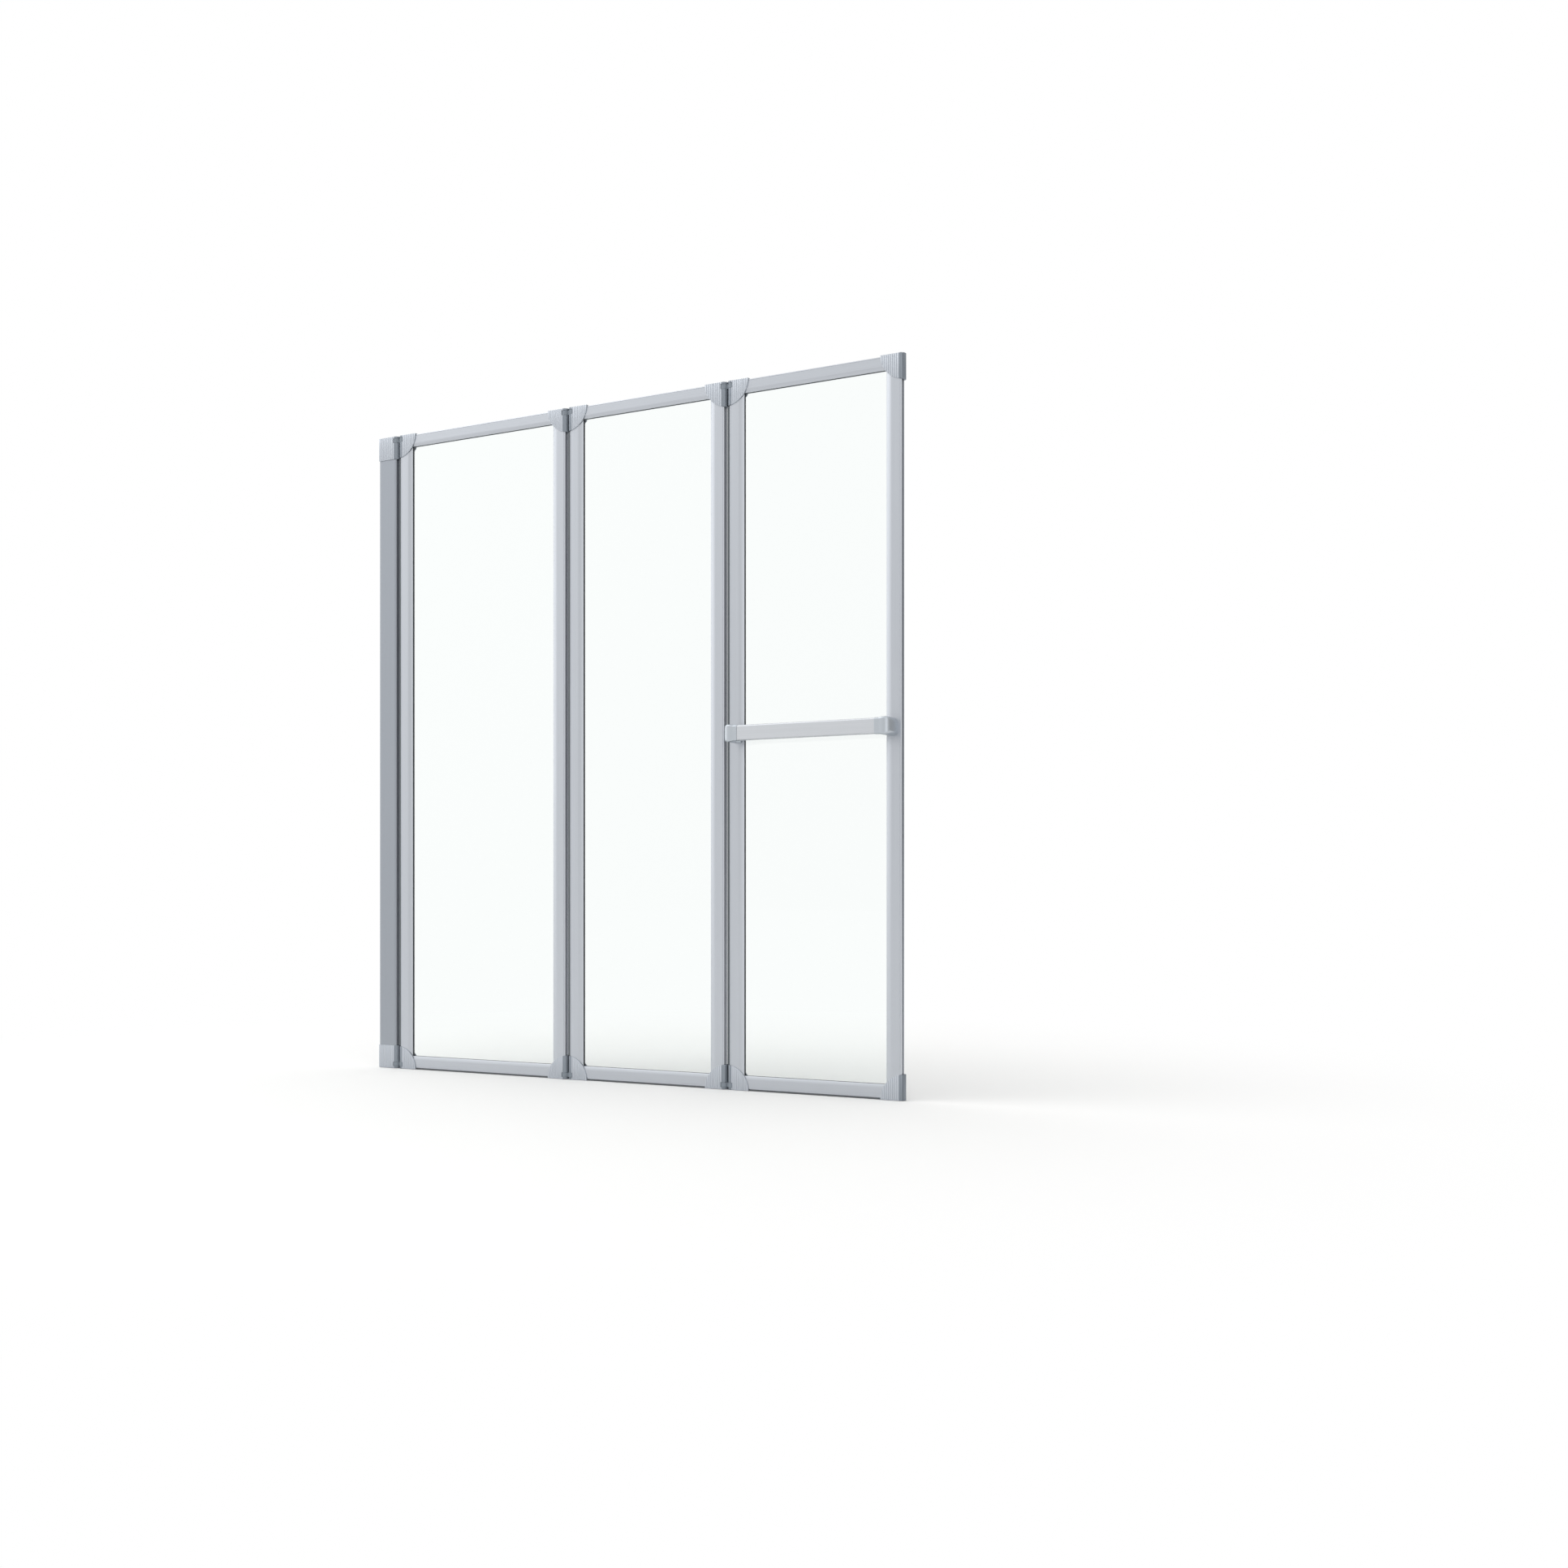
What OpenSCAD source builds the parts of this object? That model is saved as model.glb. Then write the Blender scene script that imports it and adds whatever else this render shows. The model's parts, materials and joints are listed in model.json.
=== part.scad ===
// Folding bath screen: three glass panels in slim aluminium frames, joined at
// their corners by double-pin hinges, hung from a wall post, with a towel rail
// on the room side of the panel farthest from the wall.
// Millimetres. X runs from the wall along the unfolded screen, -Y is the room
// side, +Y is over the bath and Z is up from the bath rim.

/* [Overall] */
// Width of the unfolded screen, from the wall to the free edge
screen_w = 1270; // [1200:1:1340]
// Height of the screen above the bath rim
screen_h = 1400; // [1340:1:1600]
// Wall to the centre line of the wall hinge
wall_reach = 54; // [52:0.5:60]
// Centre line of the wall hinge to that of the next hinge
first_pitch = 453.5; // [420:0.5:500]

/* [Frame profiles] */
// Thickness of the stiles and rails, front to back
frame_t = 14; // [13:0.5:16]
// Width of each upright stile
stile_w = 32; // [29:0.5:34]
// Width of the top and bottom rails
rail_w = 26; // [23:0.5:28]
// Wall of the extruded profiles
profile_wall = 1.4; // [1.2:0.1:1.6]
// Rounding of the profiles' outer edges
bead_r = 1.8; // [1.2:0.1:2.2]
// Distance of the shadow line from the profile's outer edge
line_inset = 2.4; // [2:0.1:3]
// Width of the shadow line
line_w = 1; // [0.8:0.1:1.2]
// Depth of the shadow line
line_d = 0.5; // [0.3:0.1:0.7]
// Width of the curved fall of a stile's face towards the glass
stile_fall_w = 12; // [9:0.5:13]
// Radius of that fall
stile_fall_r = 24; // [23:0.5:36]
// Width of the curved fall of a rail's face
rail_fall_w = 8; // [6:0.5:9]
// Radius of that fall
rail_fall_r = 16; // [15:0.5:30]
// Depth of the glazing groove
groove_d = 9; // [8.6:0.1:9.6]

/* [Glass] */
// Thickness of the glass
glass_t = 3; // [2.6:0.1:3.4]
// How far the glass runs into the frame
glass_lap = 7.5; // [6.8:0.1:7.5]
// Rubber on each face of the glass
gasket_t = 0.95; // [0.8:0.05:1.05]
// Rubber round the edge of the glass
gasket_edge = 1; // [0.8:0.1:1]
// Rubber lip that shows beyond the frame
gasket_lip = 0.8; // [0.5:0.1:1.5]

/* [Corner caps] */
// Radius of the quarter-round corner caps
cap_r = 49; // [48.5:0.5:54]
// Thickness of a cap's front and back plates
cap_plate = 2; // [1.7:0.1:2.5]
// Centre line of a hinge to the outer edge of a stile
edge_gap = 6; // [5.5:0.1:6.5]
// Gap between two caps at a hinge
nose_gap = 1; // [0.7:0.1:1.5]
// Height of the end of a top rail below the top of its caps
top_inset = 2; // [1.5:0.1:3]
// Height of a bottom rail above the bath rim
bottom_inset = 2.8; // [2.5:0.1:4]
// Length of the tongues inside the stiles and rails
tongue_len = 25; // [18:0.5:30]
// Distance of the first rib groove from a hinge's centre line
rib_start = 15; // [14.5:0.1:16]
// Distance from one rib groove to the next
rib_pitch = 4.2; // [3.8:0.1:5]
// Width of a rib groove
rib_w = 1.9; // [1:0.1:2.2]
// Depth of a rib groove
rib_d = 0.7; // [0.3:0.1:0.9]
// Width of the deep groove beside the rounded nose
neck_w = 1.2; // [0.8:0.1:1.6]
// Depth of the groove beside the nose
neck_d = 0.8; // [0.4:0.1:1.2]
// Width of the groove down the front and the back of a nose
nose_line_w = 1.6; // [0.8:0.1:1.8]
// Depth of that groove
nose_line_d = 1.5; // [0.4:0.1:1.6]
// Turn from the face of a cap round its nose to that groove, in degrees
nose_line_turn = 42; // [34:1:48]

/* [Hinges] */
// Radius of the hinge pins
pin_r = 2; // [1.6:0.1:2.4]
// Running clearance of a link round its pin
pin_clearance = 0.05; // [0.03:0.01:0.09]
// Thickness of the cap below the end of a pin
pin_floor = 0.8; // [0.5:0.1:1.5]
// Distance of a link's recess from the end of the cap
link_start = 4; // [3:0.1:5]
// Height of a link
link_h = 9.4; // [8:0.1:10]
// Gap above and below a link
link_gap = 0.3; // [0.3:0.05:0.6]
// How much smaller a link's barrel is than the cap's nose
link_step = 0.3; // [0.2:0.05:0.5]
// Gap round a link's barrel in its recess
link_room = 0.5; // [0.4:0.05:0.8]
// Width of the web between a link's two barrels
link_web = 7; // [5:0.1:7.6]

/* [Seals] */
// Half the thickness of the edge seals' soft bulb
bulb_r = 4; // [3.4:0.1:4.4]
// How far the bulb reaches past the centre line of its hinge
bulb_reach = 1.8; // [0.5:0.1:1.9]
// Width of the seals' stem
stem_w = 3.8; // [3:0.1:4]
// Length of the seals' stem
stem_len = 3; // [2.5:0.1:3.2]
// Width of the base of the bottom seals
drip_w = 10; // [8:0.5:12]
// Thickness of the bottom seals' base and lips
drip_t = 1.4; // [1:0.1:1.6]

/* [Wall fixing] */
// Gap between the wall and the post
wall_gap = 4; // [3:0.5:6]
// Depth of the wall channel
channel_reach = 29; // [24:0.5:29]
// Thickness of the wall channel's base
channel_base = 2; // [1.6:0.1:3]
// Height of the wall caps
wall_cap_h = 50; // [44:0.5:54]
// Height of the post's end above the end of its cap
post_inset = 28; // [26:0.5:30]
// Width of the post's closed chamber
post_chamber = 10; // [8:0.5:10]
// Radius of the wall screw holes
wall_hole_r = 2.75; // [2:0.05:3.2]
// Distance between the outer two wall screws
wall_holes_outer = 1200; // [1100:10:1300]
// Distance between the inner two wall screws
wall_holes_inner = 400; // [300:10:500]
// Distance of the adjusting screws from the wall
adjust_x = 20; // [14:0.5:22]
// Distance from one adjusting screw to the next
adjust_pitch = 550; // [500:5:600]
// Length of the adjusting screws below their heads
adjust_len = 5; // [4:0.1:5.5]

/* [Towel rail] */
// Height of the towel rail's centre line
towel_z = 700; // [550:5:900]
// Height of the towel rail's bar
towel_h = 30; // [24:0.5:30]
// Thickness of the towel rail's bar
towel_d = 13; // [10:0.5:13]
// Wall of the towel rail's bar
towel_wall = 1.5; // [1:0.1:2]
// Rounding of the towel rail's bar
towel_edge_r = 3.5; // [2.5:0.1:4.5]
// Distance of the front of the brackets from the middle of the frame
bracket_front_y = 48; // [42:0.5:60]
// Distance of a bracket's outer side from the hinge line
bracket_start = 14.5; // [13:0.1:15]
// Width of a bracket's foot
bracket_w = 19; // [17:0.5:22]
// Height of a bracket's foot
bracket_h = 34; // [33:0.5:42]
// Distance of the mouth of a bracket from the hinge line
bracket_mouth = 44.5; // [42:0.5:50]
// Depth of the socket for the bar
socket_d = 15; // [10:0.5:18]
// Height of the sleeve round the bar
sleeve_h = 32; // [32:0.5:33]
// Depth of the sleeve round the bar
sleeve_d = 15; // [15:0.5:18]
// Rounding of a bracket's foot seen from the room
bracket_foot_r = 8; // [5:0.5:8]
// Rounding of a bracket's outer corner seen from above
bracket_elbow_r = 10; // [6:0.5:11]

/* [Screws] */
// Radius of the small screws
screw_r = 1.5; // [1.2:0.1:1.7]
// Radius of the small screws' heads
screw_head_r = 2.8; // [2.3:0.1:3]
// Height of the small screws' heads
screw_head_h = 1.3; // [0.9:0.1:1.5]
// Distance of a stile's screws from the outer wall of its chamber
stile_screw_in = 8; // [6:0.1:9]
// Distance of a rail's screws from its end
rail_screw_in = 3.8; // [3.5:0.1:4.2]
// Distance of a rail's screws from the outer wall of its chamber
rail_screw_up = 4.5; // [3:0.1:5]
// Radius of the towel rail and adjusting screws
big_screw_r = 2; // [1.6:0.1:2.4]
// Radius of their heads
big_head_r = 3.5; // [3:0.1:4]
// Height of their heads
big_head_h = 2; // [1.5:0.1:2.5]
// Distance of the towel rail's screws from the hinge line
towel_screw_u = 21; // [19:0.5:22]
// Height of those screws above and below the rail's centre line
towel_screw_dz = 10; // [7:0.5:11]
// Depth of those screws inside a bracket
towel_screw_len = 13; // [10:0.5:16]

/* [Hidden] */
$fn = 64;
// assembly clearance between pieces that slide into each other
fit = 0.1;
// how far a cutting shape runs past the face it cuts
cut = 1;

// centre lines of the three hinges and of the free edge
end_line = screen_w + nose_gap / 2;
next_pitch = (end_line - wall_reach - first_pitch) / 2;
hinge_x = [wall_reach, wall_reach + first_pitch,
           wall_reach + first_pitch + next_pitch, end_line];

cap_t = frame_t + 2 * cap_plate;
nose_r = cap_t / 2;
pin_u = nose_r + nose_gap / 2;
frame_y = frame_t / 2;
cap_y = cap_t / 2;
stile_end = edge_gap + stile_w;
slot_w = stem_w + 2 * fit;
slot_d = stem_len + 2 * fit;
chamber_start = slot_d + profile_wall;
chamber_y = frame_y - profile_wall;
groove_w = glass_t + 2 * gasket_t + fit;
link_top = link_start + link_h + 2 * link_gap;
barrel_r = nose_r - link_step;
recess_r = barrel_r + link_room;
post_w = wall_reach - edge_gap - wall_gap;
post_open = chamber_start + post_chamber + profile_wall;
channel_y = chamber_y - fit;
post_screw_u = edge_gap + chamber_start + post_chamber / 2;
stile_screw_u = edge_gap + chamber_start + stile_screw_in;
rail_screw_u = stile_end + rail_screw_in;
rail_screw_a = chamber_start + rail_screw_up;
// radius of the holes for the small and the big screws
screw_hole_r = screw_r + fit / 2;
big_hole_r = big_screw_r + fit / 2;
bar_u = bracket_mouth - socket_d;
bar_y = -(bracket_front_y - sleeve_d / 2);

function inset(top) = top ? top_inset : bottom_inset;
function core_h(top) = inset(top) + rail_w;
// height of a stile's screw, halfway between the rail and the cap's rim
function stile_screw_z(top) =
    (core_h(top) + sqrt(cap_r * cap_r - stile_screw_u * stile_screw_u)) / 2;
function hinged(i, right) = !(i == 3 && right);

// ---- placing ----

// Places what is drawn along +X from a hinge line at either end of a panel
module from_line(i, right) {
    if (right) translate([hinge_x[i], 0, 0]) mirror([1, 0, 0]) children();
    else translate([hinge_x[i - 1], 0, 0]) children();
}

// Places what is drawn from the wall hinge's line towards the wall
module from_wall_line() {
    translate([wall_reach, 0, 0]) mirror([1, 0, 0]) children();
}

// Places what is drawn up from the bath rim at either end of the height
module from_end(top) {
    if (top) translate([0, 0, screen_h]) mirror([0, 0, 1]) children();
    else children();
}

// A round bar along +Y
module across(u, y, z, r, len) {
    translate([u, y, z]) rotate([-90, 0, 0]) cylinder(r = r, h = len);
}

// A small screw from the back, with its head flush in the cap's back plate
module small_screw(u, z) {
    across(u, -cut, z, screw_r, cap_y - screw_head_h + cut);
    across(u, cap_y - screw_head_h, z, screw_head_r, screw_head_h);
}

module small_screw_hole(u, z) {
    across(u, -cut, z, screw_hole_r, cap_y + 2 * cut);
    across(u, cap_y - screw_head_h, z, screw_head_r + 2 * fit, screw_head_h + cut);
}

// ---- frame profiles ----

// Outline of a profile from its rounded outer edge at x = 0 to its glass edge
module profile_outline(w, fall_w, fall_r) {
    flat = w - fall_w;
    translate([bead_r, -frame_y]) square([flat - bead_r, frame_t]);
    translate([0, bead_r - frame_y]) square([bead_r, frame_t - 2 * bead_r]);
    for (s = [-1, 1])
        translate([bead_r, s * (frame_y - bead_r)]) circle(r = bead_r);
    intersection() {
        translate([flat, -frame_y]) square([fall_w, frame_t]);
        translate([flat, frame_y - fall_r]) circle(r = fall_r);
        translate([flat, fall_r - frame_y]) circle(r = fall_r);
    }
}

module seal_slot() {
    translate([-cut, -slot_w / 2]) square([slot_d + cut, slot_w]);
}

module shadow_lines() {
    for (s = [-1, 1])
        translate([line_inset + line_w / 2, s * frame_y])
            square([line_w, 2 * line_d], center = true);
}

module framing_section(w, fall_w, fall_r, slotted) {
    difference() {
        profile_outline(w, fall_w, fall_r);
        translate([chamber_start, -chamber_y])
            square([w - groove_d - profile_wall - chamber_start, 2 * chamber_y]);
        translate([w - groove_d, -groove_w / 2])
            square([groove_d + cut, groove_w]);
        if (slotted) seal_slot();
        shadow_lines();
    }
}

module post_section() {
    difference() {
        union() {
            profile_outline(post_w, post_w / 2, 1000 * post_w);
            translate([post_w / 2, -frame_y]) square([post_w / 2, frame_t]);
        }
        translate([chamber_start, -chamber_y])
            square([post_chamber, 2 * chamber_y]);
        translate([post_open, -chamber_y]) square([post_w, 2 * chamber_y]);
        seal_slot();
        shadow_lines();
    }
}

// ---- corner caps ----

// Plan of a cap from its rounded nose to its far side, with ribs on both faces
module cap_plan(w) {
    difference() {
        union() {
            translate([pin_u, -cap_y]) square([w - pin_u, cap_t]);
            translate([pin_u, 0]) circle(r = nose_r);
        }
        for (s = [-1, 1]) {
            translate([pin_u + 1 + neck_w / 2, s * cap_y])
                square([neck_w, 2 * neck_d], center = true);
            translate([pin_u, 0]) rotate(-s * (90 - nose_line_turn)) translate([-nose_r, 0])
                square([2 * nose_line_d, nose_line_w], center = true);
            for (u = [rib_start : rib_pitch : w - rib_w])
                translate([u, s * cap_y])
                    polygon([[-rib_w / 2, s * 0.01], [rib_w / 2, s * 0.01], [0, -s * rib_d]]);
        }
    }
}

// Room in a hinged cap for the link and its pin
module hinge_room() {
    translate([pin_u, 0, pin_floor]) cylinder(r = pin_r, h = post_inset - pin_floor);
    translate([pin_u, 0, link_start]) cylinder(r = recess_r, h = link_top - link_start);
    translate([-cut, -cap_y - cut, link_start])
        cube([pin_u + link_web / 2 + 4 * fit + cut, cap_t + 2 * cut, link_top - link_start]);
}

module tongue(u, z, w, len, up) {
    translate([u, fit - chamber_y, z])
        cube([up ? w : len, 2 * (chamber_y - fit), up ? len : w]);
}

module corner_cap(i, right, top) {
    core = core_h(top);
    low = inset(top);
    color("silver") from_line(i, right) from_end(top) difference() {
        union() {
            difference() {
                intersection() {
                    linear_extrude(height = cap_r) cap_plan(cap_r);
                    rotate([90, 0, 0]) cylinder(r = cap_r, h = 2 * cap_t, center = true);
                }
                // the stile and the rail stand between the two plates
                translate([edge_gap, -frame_y, core]) cube([cap_r, frame_t, cap_r]);
                translate([stile_end, -frame_y, low]) cube([cap_r, frame_t, cap_r]);
                // corner of the glass and its gasket
                translate([stile_end - groove_d, -groove_w / 2, core - groove_d])
                    cube([groove_d + cut, groove_w, groove_d + cut]);
            }
            tongue(edge_gap + chamber_start + fit, core,
                   stile_w - groove_d - profile_wall - chamber_start - 2 * fit,
                   tongue_len, true);
            tongue(stile_end, low + chamber_start + fit,
                   rail_w - groove_d - profile_wall - chamber_start - 2 * fit,
                   tongue_len, false);
        }
        if (hinged(i, right)) hinge_room();
        small_screw_hole(stile_screw_u, stile_screw_z(top));
        small_screw_hole(rail_screw_u, low + rail_screw_a);
    }
}

module wall_cap(top) {
    w = wall_reach - wall_gap / 8;
    color("silver") from_wall_line() from_end(top) difference() {
        union() {
            difference() {
                linear_extrude(height = wall_cap_h) cap_plan(w);
                translate([edge_gap, -frame_y, post_inset]) cube([w, frame_t, wall_cap_h]);
                translate([edge_gap + post_open, -chamber_y, -cut])
                    cube([w, 2 * chamber_y, wall_cap_h]);
            }
            tongue(edge_gap + chamber_start + fit, post_inset,
                   post_chamber - 2 * fit, tongue_len, true);
        }
        hinge_room();
        small_screw_hole(post_screw_u, (post_inset + wall_cap_h) / 2);
    }
}

// ---- panel pieces ----

module stile(i, right) {
    z0 = core_h(false);
    color("gainsboro") from_line(i, right) difference() {
        translate([edge_gap, 0, z0])
            linear_extrude(height = screen_h - core_h(true) - z0)
                framing_section(stile_w, stile_fall_w, stile_fall_r, true);
        for (top = [false, true])
            from_end(top) across(stile_screw_u, 0, stile_screw_z(top), screw_hole_r, cap_y);
        if (i == 3)
            for (s = [-1, 1])
                across(towel_screw_u, -cap_y, towel_z + s * towel_screw_dz,
                       big_hole_r, cap_t);
    }
}

module rail(i, top) {
    len = hinge_x[i] - hinge_x[i - 1] - 2 * stile_end;
    color("gainsboro") from_end(top) difference() {
        translate([hinge_x[i] - stile_end, 0, inset(top)]) rotate([0, -90, 0])
            linear_extrude(height = len)
                framing_section(rail_w, rail_fall_w, rail_fall_r, !top);
        for (right = [false, true])
            from_line(i, right)
                across(rail_screw_u, 0, inset(top) + rail_screw_a, screw_hole_r, cap_y);
    }
}

// A flat slab reaching a given way past the frame's inner edge all round
module pane(i, lap, t) {
    x0 = hinge_x[i - 1] + stile_end - lap;
    z0 = core_h(false) - lap;
    translate([x0, -t / 2, z0])
        cube([hinge_x[i] - stile_end + lap - x0, t, screen_h - core_h(true) + lap - z0]);
}

module glass(i) {
    color("lightcyan", 0.4) pane(i, glass_lap, glass_t);
}

module glazing_gasket(i) {
    t = glass_t + 2 * gasket_t;
    color("dimgray") difference() {
        pane(i, glass_lap + gasket_edge, t);
        pane(i, -gasket_lip, t + 2 * cut);
        pane(i, glass_lap, glass_t);
    }
}

// Bulb in the gap beside a panel's left stile, between the caps, with its stem
// in the stile's slot
module edge_seal(i) {
    z0 = max(cap_r, wall_cap_h) + 5 * fit;
    len = screen_h - 2 * z0;
    color("slategray") from_line(i, false) translate([0, 0, z0]) {
        linear_extrude(height = len) {
            translate([bulb_r - bulb_reach, 0]) circle(r = bulb_r);
            translate([bulb_r - bulb_reach, -bulb_r])
                square([edge_gap + bulb_reach - bulb_r, 2 * bulb_r]);
        }
        translate([edge_gap, -stem_w / 2, 0]) cube([stem_len, stem_w, len]);
    }
}

module bottom_seal(i) {
    x0 = hinge_x[i - 1] + cap_r + 2 * fit;
    lip_h = bottom_inset - drip_t;
    color("darkslategray") translate([x0, 0, 0]) rotate([90, 0, 90])
        linear_extrude(height = hinge_x[i] - cap_r - 2 * fit - x0) {
            translate([-stem_w / 2, bottom_inset]) square([stem_w, stem_len]);
            translate([-drip_w / 2, lip_h]) square([drip_w, drip_t]);
            translate([-drip_w / 2, 0]) square([drip_t, lip_h]);
            translate([drip_w / 2 - drip_t, 0]) square([drip_t, lip_h]);
        }
}

module corner_screws(i) {
    color("lightgray")
        for (right = [false, true], top = [false, true])
            from_line(i, right) from_end(top) {
                small_screw(stile_screw_u, stile_screw_z(top));
                small_screw(rail_screw_u, inset(top) + rail_screw_a);
            }
}

module pin() {
    translate([pin_u, 0, pin_floor]) cylinder(r = pin_r, h = post_inset - pin_floor);
}

module hinge_pins(i) {
    color("lightgray")
        for (right = [false, true], top = [false, true])
            if (hinged(i, right)) from_line(i, right) from_end(top) pin();
}

// ---- hinges ----

module link() {
    z = link_start + link_gap;
    difference() {
        union() {
            for (s = [-1, 1])
                translate([s * pin_u, 0, z]) cylinder(r = barrel_r, h = link_h);
            translate([-pin_u, -link_web / 2, z]) cube([2 * pin_u, link_web, link_h]);
        }
        for (s = [-1, 1])
            translate([s * pin_u, 0, z - cut])
                cylinder(r = pin_r + pin_clearance, h = link_h + 2 * cut);
    }
}

// The top and bottom links of one hinge
module hinge_links(line) {
    color("darkgray") translate([hinge_x[line], 0, 0])
        for (top = [false, true]) from_end(top) link();
}

// ---- wall fixing ----

module wall_channel() {
    color("gainsboro") difference() {
        translate([0, -channel_y, 0]) cube([channel_reach, 2 * channel_y, screen_h]);
        translate([channel_base, profile_wall - channel_y, -cut])
            cube([channel_reach, 2 * (channel_y - profile_wall), screen_h + 2 * cut]);
        for (span = [wall_holes_outer, wall_holes_inner], s = [-1, 1])
            translate([-cut, 0, screen_h / 2 + s * span / 2]) rotate([0, 90, 0])
                cylinder(r = wall_hole_r, h = channel_base + 2 * cut);
        for (k = [-1 : 1])
            across(adjust_x, 0, screen_h / 2 + k * adjust_pitch, big_hole_r, frame_t);
    }
}

module wall_post() {
    color("gainsboro") difference() {
        from_wall_line() translate([edge_gap, 0, post_inset])
            linear_extrude(height = screen_h - 2 * post_inset) post_section();
        for (k = [-1 : 1])
            across(adjust_x, 0, screen_h / 2 + k * adjust_pitch, big_hole_r, frame_t);
        for (top = [false, true])
            from_end(top) from_wall_line()
                across(post_screw_u, 0, (post_inset + wall_cap_h) / 2, screw_hole_r, cap_y);
    }
}

module adjusting_screws() {
    color("lightgray") for (k = [-1 : 1]) {
        z = screen_h / 2 + k * adjust_pitch;
        across(adjust_x, frame_y - adjust_len, z, big_screw_r, adjust_len);
        across(adjust_x, frame_y, z, big_head_r, big_head_h);
    }
}

module wall_cap_screws() {
    color("lightgray") for (top = [false, true])
        from_end(top) from_wall_line()
            small_screw(post_screw_u, (post_inset + wall_cap_h) / 2);
}

module wall_hinge_pins() {
    color("lightgray") for (top = [false, true]) from_end(top) from_wall_line() pin();
}

// ---- towel rail ----

module rounded_rect(w, h, r) {
    square([w - 2 * r, h], center = true);
    square([w, h - 2 * r], center = true);
    for (sx = [-1, 1], sy = [-1, 1])
        translate([sx * (w / 2 - r), sy * (h / 2 - r)]) circle(r = r);
}

module towel_bar() {
    x0 = hinge_x[2] + bar_u;
    color("gainsboro") translate([x0, bar_y, towel_z]) rotate([0, 90, 0])
        linear_extrude(height = hinge_x[3] - bar_u - x0) difference() {
            rounded_rect(towel_h, towel_d, towel_edge_r);
            rounded_rect(towel_h - 2 * towel_wall, towel_d - 2 * towel_wall,
                         towel_edge_r - towel_wall / 2);
        }
}

// A bracket's outline seen from the room: its foot and the sleeve round the bar
module bracket_front() {
    mid = bracket_start + bracket_w / 2;
    translate([mid, 0]) rounded_rect(bracket_w, bracket_h, bracket_foot_r);
    translate([mid, -sleeve_h / 2]) square([bracket_mouth - mid, sleeve_h]);
}

// A bracket's outline seen from above
module bracket_plan() {
    r = bracket_elbow_r;
    translate([bracket_start + r, r - bracket_front_y]) circle(r = r);
    translate([bracket_start, r - bracket_front_y])
        square([bracket_w, bracket_front_y - r - frame_y]);
    translate([bracket_start + r, -bracket_front_y])
        square([bracket_mouth - bracket_start - r, sleeve_d]);
}

module towel_bracket(right) {
    color("silver") from_line(3, right) translate([0, 0, towel_z]) difference() {
        intersection() {
            rotate([90, 0, 0]) linear_extrude(height = bracket_front_y + cut) bracket_front();
            translate([0, 0, -bracket_h]) linear_extrude(height = 2 * bracket_h) bracket_plan();
        }
        translate([bar_u, bar_y, 0]) rotate([0, 90, 0])
            linear_extrude(height = socket_d + cut)
                rounded_rect(towel_h + fit, towel_d + fit, towel_edge_r + fit / 2);
        for (s = [-1, 1])
            across(towel_screw_u, -frame_y - towel_screw_len, s * towel_screw_dz,
                   big_hole_r, towel_screw_len + cut);
    }
}

module towel_bracket_screws() {
    color("lightgray") for (right = [false, true], s = [-1, 1])
        from_line(3, right) {
            z = towel_z + s * towel_screw_dz;
            across(towel_screw_u, -frame_y - towel_screw_len, z, big_screw_r,
                   frame_t + towel_screw_len);
            across(towel_screw_u, frame_y, z, big_head_r, big_head_h);
        }
}

wall_channel();
wall_post();
wall_cap(true);  // wall_cap_top
wall_cap(false);  // wall_cap_bottom
adjusting_screws();
wall_cap_screws();
wall_hinge_pins();
hinge_links(0);  // wall_hinge_links
for (i = [1:3]) {
    p = str("panel_", i, "_");
    stile(i, false);
    stile(i, true);
    rail(i, true);
    rail(i, false);
    corner_cap(i, false, true);
    corner_cap(i, true, true);
    corner_cap(i, false, false);
    corner_cap(i, true, false);
    glass(i);
    glazing_gasket(i);
    edge_seal(i);
    bottom_seal(i);
    corner_screws(i);
    hinge_pins(i);
}
hinge_links(1);  // hinge_12_links
hinge_links(2);  // hinge_23_links
towel_bar();
towel_bracket(false);  // towel_bracket_left
towel_bracket(true);  // towel_bracket_right
towel_bracket_screws();
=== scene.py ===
"""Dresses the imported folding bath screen: frames, moulded caps, glass, seals and towel rail."""

import json
import math

import bmesh
import bpy
from mathutils import Matrix, Vector


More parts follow.
